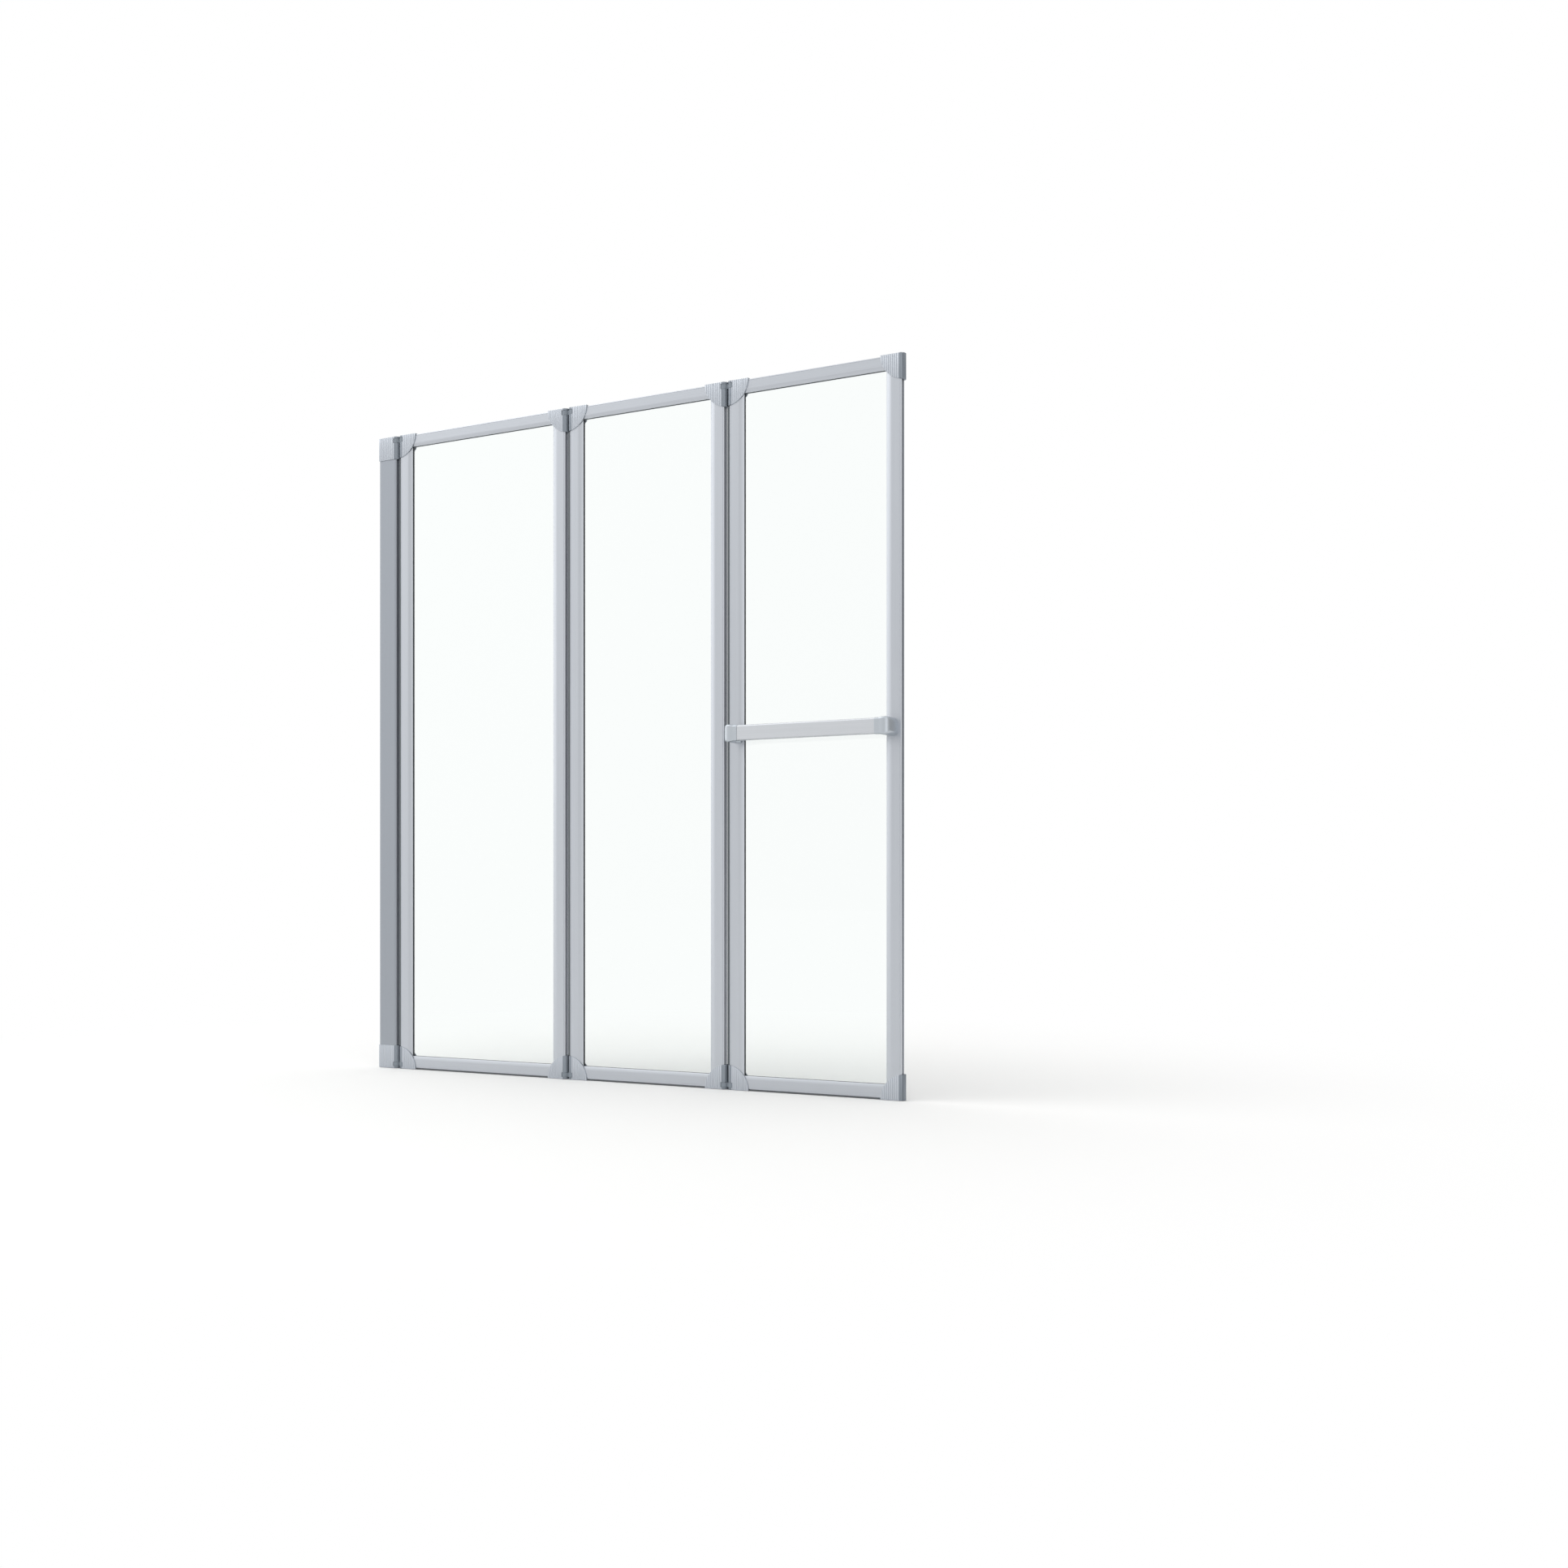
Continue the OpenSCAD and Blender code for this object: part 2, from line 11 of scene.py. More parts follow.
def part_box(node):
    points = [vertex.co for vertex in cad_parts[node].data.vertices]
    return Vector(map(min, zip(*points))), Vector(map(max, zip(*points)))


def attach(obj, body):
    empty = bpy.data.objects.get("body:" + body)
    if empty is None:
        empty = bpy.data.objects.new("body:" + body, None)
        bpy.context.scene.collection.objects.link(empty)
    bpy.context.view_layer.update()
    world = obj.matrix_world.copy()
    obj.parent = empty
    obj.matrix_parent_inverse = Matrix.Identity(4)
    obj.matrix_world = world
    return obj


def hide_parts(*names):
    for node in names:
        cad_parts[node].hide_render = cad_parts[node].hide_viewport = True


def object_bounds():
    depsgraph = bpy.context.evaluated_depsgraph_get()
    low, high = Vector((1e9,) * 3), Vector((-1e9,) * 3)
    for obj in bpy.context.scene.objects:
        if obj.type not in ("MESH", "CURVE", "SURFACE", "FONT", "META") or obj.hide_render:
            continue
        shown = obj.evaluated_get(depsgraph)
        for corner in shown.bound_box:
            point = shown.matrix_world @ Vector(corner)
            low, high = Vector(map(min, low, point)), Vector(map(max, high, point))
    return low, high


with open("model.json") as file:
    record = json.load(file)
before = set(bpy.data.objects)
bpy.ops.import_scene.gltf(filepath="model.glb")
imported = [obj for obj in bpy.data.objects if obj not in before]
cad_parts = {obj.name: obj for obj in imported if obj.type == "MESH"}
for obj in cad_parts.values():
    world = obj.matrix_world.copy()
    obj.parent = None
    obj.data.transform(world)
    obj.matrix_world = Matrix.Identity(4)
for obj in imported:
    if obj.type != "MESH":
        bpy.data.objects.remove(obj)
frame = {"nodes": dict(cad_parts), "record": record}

bl_info = {
    "name": "Folding bath screen",
    "version": (1, 0),
    "blender": (4, 5, 0),
    "location": "View3D > Sidebar > Bath screen",
    "description": "Builds the frames, glass, caps, seals and towel rail of a folding bath screen",
    "category": "Add Mesh",
}

MM = 0.001
PANELS = (1, 2, 3)
SIDES = ("left", "right")
ENDS = ("top", "bottom")
CAD_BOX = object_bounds()
BODY_OF = {
    node: body
    for body, nodes in frame["record"]["behaviour"]["bodies"].items()
    for node in nodes
}

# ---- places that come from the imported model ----

TOP_Z = CAD_BOX[1].z
EDGE_GAP = (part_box("panel_2_left_stile")[0].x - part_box("panel_1_right_stile")[1].x) / 2
LINES = (  # the hinge lines, and the end of the last panel
    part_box("panel_1_left_stile")[0].x - EDGE_GAP,
    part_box("panel_2_left_stile")[0].x - EDGE_GAP,
    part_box("panel_3_left_stile")[0].x - EDGE_GAP,
    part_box("panel_3_right_stile")[1].x + EDGE_GAP,
)
STILE_LOW, STILE_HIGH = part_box("panel_1_left_stile")
TOP_RAIL_LOW, TOP_RAIL_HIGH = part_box("panel_1_top_rail")
BOTTOM_RAIL_LOW, BOTTOM_RAIL_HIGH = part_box("panel_1_bottom_rail")
POST_LOW, POST_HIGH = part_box("wall_post")
LINK_LOW, LINK_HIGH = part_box("hinge_12_links")
BAR_LOW, BAR_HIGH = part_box("towel_bar")
FRAME_Y = STILE_HIGH.y
CAP_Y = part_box("panel_1_cap_bottom_left")[1].y
STILE_W = STILE_HIGH.x - STILE_LOW.x
RAIL_W = BOTTOM_RAIL_HIGH.z - BOTTOM_RAIL_LOW.z
INNER = EDGE_GAP + STILE_W  # from a hinge line to a stile's glass edge


def linear(hex_colour):
    """Linear red, green and blue from an sRGB hex colour."""
    channels = [int(hex_colour[i : i + 2], 16) / 255 for i in (1, 3, 5)]
    return [
        c / 12.92 if c <= 0.04045 else ((c + 0.055) / 1.055) ** 2.4 for c in channels
    ]


def size(name, description, millimetres):
    """A length that the sidebar shows."""
    return bpy.props.FloatProperty(
        name=name,
        description=description,
        default=millimetres * MM,
        min=0,
        subtype="DISTANCE",
        unit="LENGTH",
        precision=5,
    )


def colour(name, description, hex_colour):
    """A colour that the sidebar shows."""
    return bpy.props.FloatVectorProperty(
        name=name,
        description=description,
        default=linear(hex_colour),
        min=0,
        max=1,
        size=3,
        subtype="COLOR",
    )


class BathScreenSizes(bpy.types.PropertyGroup):
    """Sizes of the details on the pieces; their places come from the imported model."""

    bead: size("Bead", "Rounding of the profiles' outer edges", 1.8)
    wall: size("Profile wall", "Wall of the extruded profiles", 1.4)
    line_inset: size("Shadow line inset", "From the outer edge to the shadow line", 2.4)
    line_width: size("Shadow line width", "Width of the shadow line", 1.0)
    line_depth: size("Shadow line depth", "Depth of the shadow line", 0.5)
    stile_fall: size("Stile fall", "Width of a stile's curved fall to the glass", 12)
    stile_fall_radius: size("Stile fall radius", "Radius of that fall", 24)
    rail_fall: size("Rail fall", "Width of a rail's curved fall to the glass", 8)
    rail_fall_radius: size("Rail fall radius", "Radius of that fall", 16)
    groove_depth: size("Glazing groove", "Depth of the groove for the glass", 9)
    groove_width: size("Groove width", "Width of the groove for the glass", 5)
    slot_depth: size("Seal slot", "Depth of the slot for an edge seal", 3.2)
    slot_width: size("Seal slot width", "Width of that slot", 4)
    rib_start: size("First rib", "From a hinge line to the first groove", 15)
    rib_pitch: size("Rib pitch", "From one groove of the caps to the next", 4.2)
    rib_width: size("Rib groove width", "Width of a groove of the caps", 2)
    rib_depth: size("Rib groove depth", "Depth of a groove of the caps", 0.9)
    nose_line_width: size("Nose groove width", "Width of the groove down a nose", 1.6)
    nose_line_depth: size("Nose groove depth", "Depth of the groove down a nose", 1.5)
    neck_depth: size("Neck depth", "Depth of the groove beside a cap's nose", 0.8)
    soft_edge: size("Soft edge", "Rounding of the moulded caps' edges", 0.4)
    arris: size("Arris", "Ground edge of the glass", 0.4)
    stile_lip: size("Gasket lip at stiles", "Rubber that shows beyond a stile", 0.7)
    rail_lip: size("Gasket lip at rails", "Rubber that shows beyond a rail", 0.25)
    bulb_wall: size("Bulb wall", "Wall of the hollow bulb", 1.1)
    bracket_edge: size("Bracket edge", "Rounding of the brackets' edges", 4)
    bracket_elbow: size("Bracket elbow", "Radius of the brackets' outer corner", 10)
    bracket_foot: size("Bracket foot", "Width of a bracket's foot", 19)
    bracket_sleeve: size("Bracket sleeve", "From the bar to the outside of a sleeve", 0.7)


class BathScreenColours(bpy.types.PropertyGroup):
    """Colours of the finishes."""

    aluminium: colour("Aluminium", "Satin anodised frame profiles", "#BEC2C8")
    # Painted shade: the channel is the frame's aluminium, coloured darker to stand in for the shade
    # of its recess against the wall.
    channel: colour("Wall channel", "Anodised channel in the post's shade", "#A4A9B0")
    bar: colour("Towel bar", "Anodised towel bar", "#CACDD1")
    # Painted shade: the post is the frame's aluminium, coloured darker to stand in for the shade
    # that the wall beside it gives.
    post: colour("Wall post", "Anodised post in the channel's shade", "#9DA2A9")
    caps: colour("Caps", "Silver lacquer on the corner caps", "#BCC1C8")
    noses: colour("Noses", "Darker lacquer round the caps' hinge noses", "#868D95")
    links: colour("Links", "Grey acetal hinge links", "#7A828A")
    brackets: colour("Brackets", "Silver lacquer on the brackets", "#BAC0C6")
    glass: colour("Glass", "Clear toughened glass", "#FAFDFC")
    gasket: colour("Gasket", "Dark grey rubber round the glass", "#34383B")
    # The seals are grey rubber, but this colour is darker than that grey: the extra darkness is
    # painted shade for the gaps between the panels.
    edge_seals: colour("Edge seals", "Grey soft strips between panels", "#52585C")
    bottom_seals: colour("Bottom seals", "Grey soft strips on the bath rim", "#5E6265")
    steel: colour("Steel", "Stainless screws and pins", "#B9BBBD")
    floor: colour("Floor", "Pale floor", "#F2F2F1")


# ---- materials ----


def add_node(tree, kind, inputs=None, **settings):
    """Adds a shader node: inputs holds values or the sockets that feed it."""
    made = tree.nodes.new("ShaderNode" + kind)
    for name, value in settings.items():
        setattr(made, name, value)
    for name, value in (inputs or {}).items():
        if isinstance(value, bpy.types.NodeSocket):
            tree.links.new(value, made.inputs[name])
        else:
            made.inputs[name].default_value = value
    return made


def new_material(name):
    """An empty node material and its tree."""
    material = bpy.data.materials.new(name)
    material.use_nodes = True
    material.node_tree.nodes.clear()
    return material, material.node_tree


def tint(rgb, factor):
    """A lighter or darker shade of a colour, as red, green, blue and alpha."""
    return [min(1.0, c * factor) for c in rgb] + [1]


def grain(tree, spacing, stretch=(1, 1, 1), detail=2):
    """Noise whose lumps are one spacing apart, stretched along an axis."""
    place = add_node(tree, "TexCoord").outputs["Object"]
    scale = [1 / (spacing * s) for s in stretch]
    turned = add_node(tree, "Mapping", {"Vector": place, "Scale": scale})
    return add_node(
        tree,
        "TexNoise",
        {"Vector": turned.outputs[0], "Scale": 1.0, "Detail": detail},
    ).outputs["Fac"]


def between(tree, factor, low, high):
    """A number or colour that runs from low to high with a factor."""
    if isinstance(low, (int, float)):
        return add_node(
            tree, "MapRange", {"Value": factor, "To Min": low, "To Max": high}
        ).outputs[0]
    mixed = add_node(tree, "Mix", {"Factor": factor, "A": low, "B": high}, data_type="RGBA")
    return mixed.outputs["Result"]


def anodised_aluminium(name, rgb, along, roughness=0.36):
    """Extruded aluminium, etched matt and anodised in its natural colour.

    The etch leaves a soft satin shine, and the die leaves fine lines along the
    profile. Real lines are about 0.2 mm apart, too fine to show from here, so
    they are drawn 1.4 mm apart. The shine varies a little in clouds of 90 mm.
    """
    material, tree = new_material(name)
    stretch = [1, 1, 1]
    stretch[along] = 260
    lines = grain(tree, 1.4 * MM, stretch)
    clouds = grain(tree, 90 * MM, detail=1)
    shade = between(tree, lines, tint(rgb, 0.95), tint(rgb, 1.04))
    fine = between(tree, lines, -0.03, 0.03)
    broad = between(tree, clouds, roughness - 0.03, roughness + 0.03)
    rough = add_node(tree, "Math", {0: fine, 1: broad}, operation="ADD")
    bump = add_node(
        tree, "Bump", {"Strength": 0.12, "Distance": 0.05 * MM, "Height": lines}
    )
    shader = add_node(
        tree,
        "BsdfPrincipled",
        {
            "Base Color": shade,
            "Metallic": 1.0,
            "Roughness": rough.outputs[0],
            "Normal": bump.outputs[0],
        },
    )
    add_node(tree, "OutputMaterial", {"Surface": shader.outputs[0]})
    return material


def lacquered_abs(name, rgb, roughness=0.42, flakes=0.7):
    """Injection-moulded ABS under a silver lacquer with fine aluminium flake.

    The flake gives the lacquer a half-metallic sheen, and the spray leaves a
    faint orange peel, here 1.6 mm from lump to lump. Real flake is about
    0.05 mm, too fine to show, so it is drawn 0.5 mm apart.
    """
    material, tree = new_material(name)
    flake = grain(tree, 0.5 * MM, detail=3)
    peel = grain(tree, 1.6 * MM, detail=1)
    bump = add_node(
        tree, "Bump", {"Strength": 0.1, "Distance": 0.05 * MM, "Height": peel}
    )
    shader = add_node(
        tree,
        "BsdfPrincipled",
        {
            "Base Color": between(tree, flake, tint(rgb, 0.92), tint(rgb, 1.08)),
            "Metallic": flakes,
            "IOR": 1.5,
            "Roughness": between(tree, flake, roughness - 0.05, roughness + 0.05),
            "Normal": bump.outputs[0],
        },
    )
    add_node(tree, "OutputMaterial", {"Surface": shader.outputs[0]})
    return material


def moulded_acetal(name, rgb):
    """Injection-moulded acetal: waxy grey with a dull shine that clouds over 6 mm."""
    material, tree = new_material(name)
    clouds = grain(tree, 6 * MM)
    shader = add_node(
        tree,
        "BsdfPrincipled",
        {
            "Base Color": between(tree, clouds, tint(rgb, 0.95), tint(rgb, 1.05)),
            "IOR": 1.48,
            "Roughness": between(tree, clouds, 0.38, 0.5),
        },
    )
    add_node(tree, "OutputMaterial", {"Surface": shader.outputs[0]})
    return material


def toughened_glass(name, rgb):
    """Clear toughened float glass: colourless face on, sharp reflections."""
    material, tree = new_material(name)
    shader = add_node(
        tree,
        "BsdfPrincipled",
        {
            "Base Color": [*rgb, 1],
            "Transmission Weight": 1.0,
            "IOR": 1.52,
            "Roughness": 0.0,
        },
    )
    add_node(tree, "OutputMaterial", {"Surface": shader.outputs[0]})
    return material


def extruded_rubber(name, rgb, roughness=0.6):
    """Extruded EPDM or soft PVC: matt, with dust held in a fine skin of 0.7 mm lumps."""
    material, tree = new_material(name)
    skin = grain(tree, 0.7 * MM, detail=3)
    dust = grain(tree, 35 * MM, detail=3)
    bump = add_node(
        tree, "Bump", {"Strength": 0.2, "Distance": 0.05 * MM, "Height": skin}
    )
    shader = add_node(
        tree,
        "BsdfPrincipled",
        {
            "Base Color": between(tree, dust, tint(rgb, 0.9), tint(rgb, 1.12)),
            "IOR": 1.5,
            "Roughness": between(tree, dust, roughness - 0.06, roughness + 0.08),
            "Normal": bump.outputs[0],
        },
    )
    add_node(tree, "OutputMaterial", {"Surface": shader.outputs[0]})
    return material


def stainless_steel(name, rgb):
    """Turned stainless steel: bright, with fine tool marks 0.6 mm apart."""
    material, tree = new_material(name)
    marks = grain(tree, 0.6 * MM, (1, 4, 1))
    shader = add_node(
        tree,
        "BsdfPrincipled",
        {
            "Base Color": between(tree, marks, tint(rgb, 0.9), tint(rgb, 1.05)),
            "Metallic": 1.0,
            "Roughness": between(tree, marks, 0.22, 0.34),
        },
    )
    add_node(tree, "OutputMaterial", {"Surface": shader.outputs[0]})
    return material


FINISHES = {
    "upright": lambda c: anodised_aluminium("Anodised aluminium upright", c.aluminium, 2),
    "level": lambda c: anodised_aluminium("Anodised aluminium level", c.aluminium, 0),
    # the channel and the post take the frame's aluminium in darker colours, which are painted shade
    # from the wall
    "channel": lambda c: anodised_aluminium("Anodised aluminium channel", c.channel, 2),
    "post": lambda c: anodised_aluminium("Anodised aluminium post", c.post, 2),
    "bar": lambda c: anodised_aluminium("Anodised aluminium bar", c.bar, 0, 0.4),
    "caps": lambda c: lacquered_abs("Silver lacquered ABS caps", c.caps),
    "noses": lambda c: lacquered_abs("Grey lacquered ABS noses", c.noses),
    "brackets": lambda c: lacquered_abs("Silver lacquered ABS brackets", c.brackets, 0.32, 0.95),
    "links": lambda c: moulded_acetal("Grey acetal", c.links),
    "glass": lambda c: toughened_glass("Toughened glass", c.glass),
    "gasket": lambda c: extruded_rubber("Grey EPDM", c.gasket),
    # grey rubber, darkened further as painted shade for the gaps between the panels
    "edge_seals": lambda c: extruded_rubber("Grey soft PVC", c.edge_seals, 0.5),
    "bottom_seals": lambda c: extruded_rubber("Dark soft PVC", c.bottom_seals),
    "steel": lambda c: stainless_steel("Stainless steel", c.steel),
}
made_finishes = {}


def finish(kind):
    """The material of a finish, made the first time it is asked for."""
    if kind not in made_finishes:
        made_finishes[kind] = FINISHES[kind](bpy.context.scene.bath_screen_colours)
    return made_finishes[kind]


# ---- shapes ----


def round_off(bm, geom, offset, segments=2, affect="EDGES"):
    """Rounds edges or the corners of an outline; offset is the length cut off each side."""
    bmesh.ops.bevel(
        bm,
        geom=geom,
        offset=offset,
        offset_type="OFFSET",
        segments=segments,
        profile=0.5,
        affect=affect,
        material=-1,
    )


def outline(bm, corners, segments=6):
    """A flat face through (x, y, rounding) corners."""
    verts = [bm.verts.new((x, y, 0)) for x, y, _ in corners]
    bm.faces.new(verts)
    for vert, (_, _, rounding) in zip(verts, corners):
        if rounding:
            round_off(bm, [vert], rounding, segments, "VERTICES")


def rectangle(low_x, low_y, high_x, high_y, rounding=0):
    """Corners of a rectangle, for outline."""
    return [
        (x, y, rounding)
        for x, y in ((low_x, low_y), (high_x, low_y), (high_x, high_y), (low_x, high_y))
    ]


def mirrored(half):
    """A whole outline from the half of it above the x axis."""
    return half + [(x, -y, rounding) for x, y, rounding in reversed(half)]


def extrude(bm, length):
    """Gives the flat faces of a mesh their length along Z, with inner outlines as holes."""
    if len(bm.faces) > 1:
        bmesh.ops.delete(bm, geom=bm.faces[:], context="FACES_ONLY")
        bmesh.ops.triangle_fill(bm, use_beauty=True, edges=bm.edges[:])
    grown = bmesh.ops.extrude_face_region(bm, geom=bm.faces[:])["geom"]
    tops = [v for v in grown if isinstance(v, bmesh.types.BMVert)]
    bmesh.ops.translate(bm, vec=(0, 0, length), verts=tops)
    return bm


def extrusion(outlines, length, segments=6):
    """A straight piece from its outlines: the outer one and any hollows."""
    bm = bmesh.new()
    for corners in outlines:
        outline(bm, corners, segments)
    return extrude(bm, length)


def axes(x_axis, y_axis, z_axis, origin):
    """A matrix that lays a shape's own axes along those of the screen."""
    matrix = Matrix((x_axis, y_axis, z_axis)).transposed().to_4x4()
    matrix.translation = origin
    return matrix


def block(low, high):
    """A box between two corners."""
    low, high = Vector(low), Vector(high)
    bm = bmesh.new()
    bmesh.ops.create_cube(
        bm,
        size=1,
        matrix=Matrix.Translation((low + high) / 2) @ Matrix.Diagonal((*(high - low), 1)),
    )
    return bm


def rod(start, end, radius, segments):
    """A round bar between two points."""
    start, end = Vector(start), Vector(end)
    way = end - start
    turn = way.to_track_quat("Z", "Y").to_matrix().to_4x4()
    bm = bmesh.new()
    bmesh.ops.create_cone(
        bm,
        cap_ends=True,
        segments=segments,
        radius1=radius,
        radius2=radius,
        depth=way.length,
        matrix=Matrix.Translation((start + end) / 2) @ turn,
    )
    return bm


def outward(bm):
    """Merges doubled points and turns the faces outwards."""
    bmesh.ops.remove_doubles(bm, verts=bm.verts[:], dist=0.002 * MM)
    bmesh.ops.recalc_face_normals(bm, faces=bm.faces[:])
    return bm


def combine(bm, *tools, operation="DIFFERENCE"):
    """Cuts tools out of a mesh or joins them to it, and uses them up."""
    for tool in tools:
        held = []
        for part in (bm, tool):
            outward(part)
            mesh = bpy.data.meshes.new("working")
            part.to_mesh(mesh)
            part.free()
            held.append(bpy.data.objects.new("working", mesh))
            bpy.context.scene.collection.objects.link(held[-1])
        cut = held[0].modifiers.new("Combine", "BOOLEAN")
        cut.object = held[1]
        cut.operation = operation
        cut.solver = "EXACT"
        cut.use_self = True
        bm = bmesh.new()
        bm.from_object(held[0], bpy.context.evaluated_depsgraph_get())
        for thing in held:
            mesh = thing.data
            bpy.data.objects.remove(thing)
            bpy.data.meshes.remove(mesh)
    return bm


def placed(bm, matrix):
    """A copy of a mesh at another place."""
    copied = bm.copy()
    copied.transform(matrix)
    return copied


def joined(parts):
    """One mesh from several, which are used up."""
    whole = bmesh.new()
    for part in parts:
        mesh = bpy.data.meshes.new("working")
        part.to_mesh(mesh)
        part.free()
        whole.from_mesh(mesh)
        bpy.data.meshes.remove(mesh)
    return whole


def finished(bm, node, make, kind, sharp=32, even=True):
    """Makes a mesh a piece of the screen in the place of its CAD node.

    make ends the piece's name and says how it is made. kind names its finishes, in the
    order of its faces' material numbers. On an even piece large faces keep their own
    shading, and only rounded edges are blended.
    """
    name = f"{node}_{make}"
    outward(bm)
    if not bm.faces:
        raise RuntimeError(f"{name} came out empty")
    mesh = bpy.data.meshes.new(name)
    bm.to_mesh(mesh)
    bm.free()
    for one in kind.split():
        mesh.materials.append(finish(one))
    mesh.shade_smooth()
    mesh.set_sharp_from_angle(angle=math.radians(sharp))
    piece = bpy.data.objects.new(name, mesh)
    bpy.context.scene.collection.objects.link(piece)
    if even:
        weighted = piece.modifiers.new("Even faces", "WEIGHTED_NORMAL")
        weighted.keep_sharp = True
        evaluated = piece.evaluated_get(bpy.context.evaluated_depsgraph_get())
        piece.data = bpy.data.meshes.new_from_object(evaluated)
        piece.modifiers.clear()
        bpy.data.meshes.remove(mesh)
        piece.data.name = name
    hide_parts(node)
    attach(piece, BODY_OF[node])


# ---- frame profiles ----

DIE_EDGE = 0.15 * MM  # how round the die leaves a sharp edge
ROOM_EDGE = 0.5 * MM  # rounding inside a chamber
POST_CHAMBER = 10 * MM  # width of the post's closed chamber


def outer_edge(s):
    """Half a profile's outer edge, from the seal slot's mouth past the shadow line."""
    line_end = s.line_inset + s.line_width
    line_floor = FRAME_Y - s.line_depth
    return [
        (0, s.slot_width / 2, DIE_EDGE),
        (0, FRAME_Y, s.bead),
        (s.line_inset, FRAME_Y, DIE_EDGE),
        (s.line_inset, line_floor, DIE_EDGE),
        (line_end, line_floor, DIE_EDGE),
        (line_end, FRAME_Y, DIE_EDGE),
    ]


def framing_outlines(s, width, fall, fall_radius, slotted):
    """Section of a profile, its rounded outer edge at x = 0 and its glass edge at width."""
    reach = fall_radius * math.tan(math.asin(fall / fall_radius) / 2)
    drop = fall_radius - math.sqrt(fall_radius**2 - fall**2)
    half = [
        *outer_edge(s),
        (width - fall + reach, FRAME_Y, reach * 0.98),
        (width, FRAME_Y - drop, DIE_EDGE),
        (width, s.groove_width / 2, DIE_EDGE),
        (width - s.groove_depth, s.groove_width / 2, 0),
    ]
    if slotted:
        half.insert(0, (s.slot_depth, s.slot_width / 2, 0))
    else:
        half.pop(0)
    start = s.slot_depth + s.wall
    end = width - s.groove_depth - s.wall
    room = FRAME_Y - s.wall
    return [mirrored(half), rectangle(start, -room, end, room, ROOM_EDGE)]


def post_outlines(s, width):
    """Section of the wall post, which is open towards the wall."""
    start = s.slot_depth + s.wall
    room = FRAME_Y - s.wall
    soft = 0.3 * MM
    half = [
        (s.slot_depth, s.slot_width / 2, 0),
        *outer_edge(s),
        (width, FRAME_Y, 0.4 * MM),
        (width, room, soft),
        (start + POST_CHAMBER + s.wall, room, soft),
    ]
    return [mirrored(half), rectangle(start, -room, start + POST_CHAMBER, room, ROOM_EDGE)]


class BATHSCREEN_OT_frames(bpy.types.Operator):
    """Extrudes the stiles, the rails and the wall post"""

    bl_idname = "bathscreen.frames"
    bl_label = "Frame profiles"

    def execute(self, context):
        s = context.scene.bath_screen_sizes
        for panel in PANELS:
            for side in SIDES:
                node = f"panel_{panel}_{side}_stile"
                low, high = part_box(node)
                sign = 1 if side == "left" else -1
                edge = low.x if side == "left" else high.x
                outlines = framing_outlines(s, STILE_W, s.stile_fall, s.stile_fall_radius, True)
                stile = extrusion(outlines, high.z - low.z)
                stile.transform(axes((sign, 0, 0), (0, 1, 0), (0, 0, 1), (edge, 0, low.z)))
                finished(stile, node, "extrusion", "upright")
            for end in ENDS:
                node = f"panel_{panel}_{end}_rail"
                low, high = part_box(node)
                slotted = end == "bottom"
                sign = 1 if slotted else -1
                edge = low.z if slotted else high.z
                outlines = framing_outlines(s, RAIL_W, s.rail_fall, s.rail_fall_radius, slotted)
                rail = extrusion(outlines, high.x - low.x)
                rail.transform(axes((0, 0, sign), (0, 1, 0), (1, 0, 0), (low.x, 0, edge)))
                finished(rail, node, "extrusion", "level")
        post = extrusion(post_outlines(s, POST_HIGH.x - POST_LOW.x), POST_HIGH.z - POST_LOW.z)
        post.transform(axes((-1, 0, 0), (0, 1, 0), (0, 0, 1), (POST_HIGH.x, 0, POST_LOW.z)))
        finished(post, "wall_post", "extrusion", "post")
        return {"FINISHED"}


# ---- corner caps ----

NOSE = CAP_Y  # radius of a cap's nose, which is as thick as the cap
PIN_U = NOSE + LINES[3] - CAD_BOX[1].x  # the free noses end where the screen ends
CAP_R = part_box("panel_1_bottom_seal")[0].x - LINES[0] - 0.2 * MM  # the seal starts beside the cap
LINK_ROOM = (4 * MM, 14 * MM)  # where a link's room starts and ends, from the cap's end
NOTCH = 13.4 * MM  # from the hinge line to the end of the straight part of that room
POCKET = 9.2 * MM  # radius of its round part
PIN_BORE = 2 * MM
LINK_BORE = 2.05 * MM
POST_INSET = POST_LOW.z
FIT = 0.1 * MM  # between a tongue and the profile round it
TONGUE = 25 * MM  # how far a tongue enters its profile
NOSE_LINE_TURN = math.radians(48)
HEAD_RADIUS = 2.8 * MM
HEAD_HEIGHT = 1.3 * MM
HEAD_SEAT = CAP_Y - HEAD_HEIGHT
STILE_SCREW_U = 18.6 * MM
RAIL_SCREW_IN = 3.8 * MM  # from the stile's glass edge
RAIL_SCREW_UP = 9.1 * MM  # from the rail's outer edge
WALL_SCREW_U = 15.6 * MM
WALL_SCREW_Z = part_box("wall_cap_screws")[0].z + HEAD_RADIUS
WALL_CAP_H = 2 * WALL_SCREW_Z - POST_INSET  # the screw is halfway up the cap's plates
EDGE_STEPS = (0, 0.3, 1)  # where the points of a soft edge lie, from the face inwards
NECK_SHAPE = (  # the groove beside a nose: millimetres from its middle, share of its depth
    (-0.7, 0),
    (-0.55, 0.2),
    (-0.48, 0.8),
    (-0.35, 1),
    (0.35, 1),
    (0.48, 0.8),
    (0.55, 0.2),
    (0.7, 0),
)
RIB_SHAPE = (  # a groove between ribs: share of its half width, share of its depth
    (-1.15, 0),
    (-0.85, 0.15),
    (-0.45, 0.9),
    (0, 1),
    (0.45, 0.9),
    (0.85, 0.15),
    (1.15, 0),
)


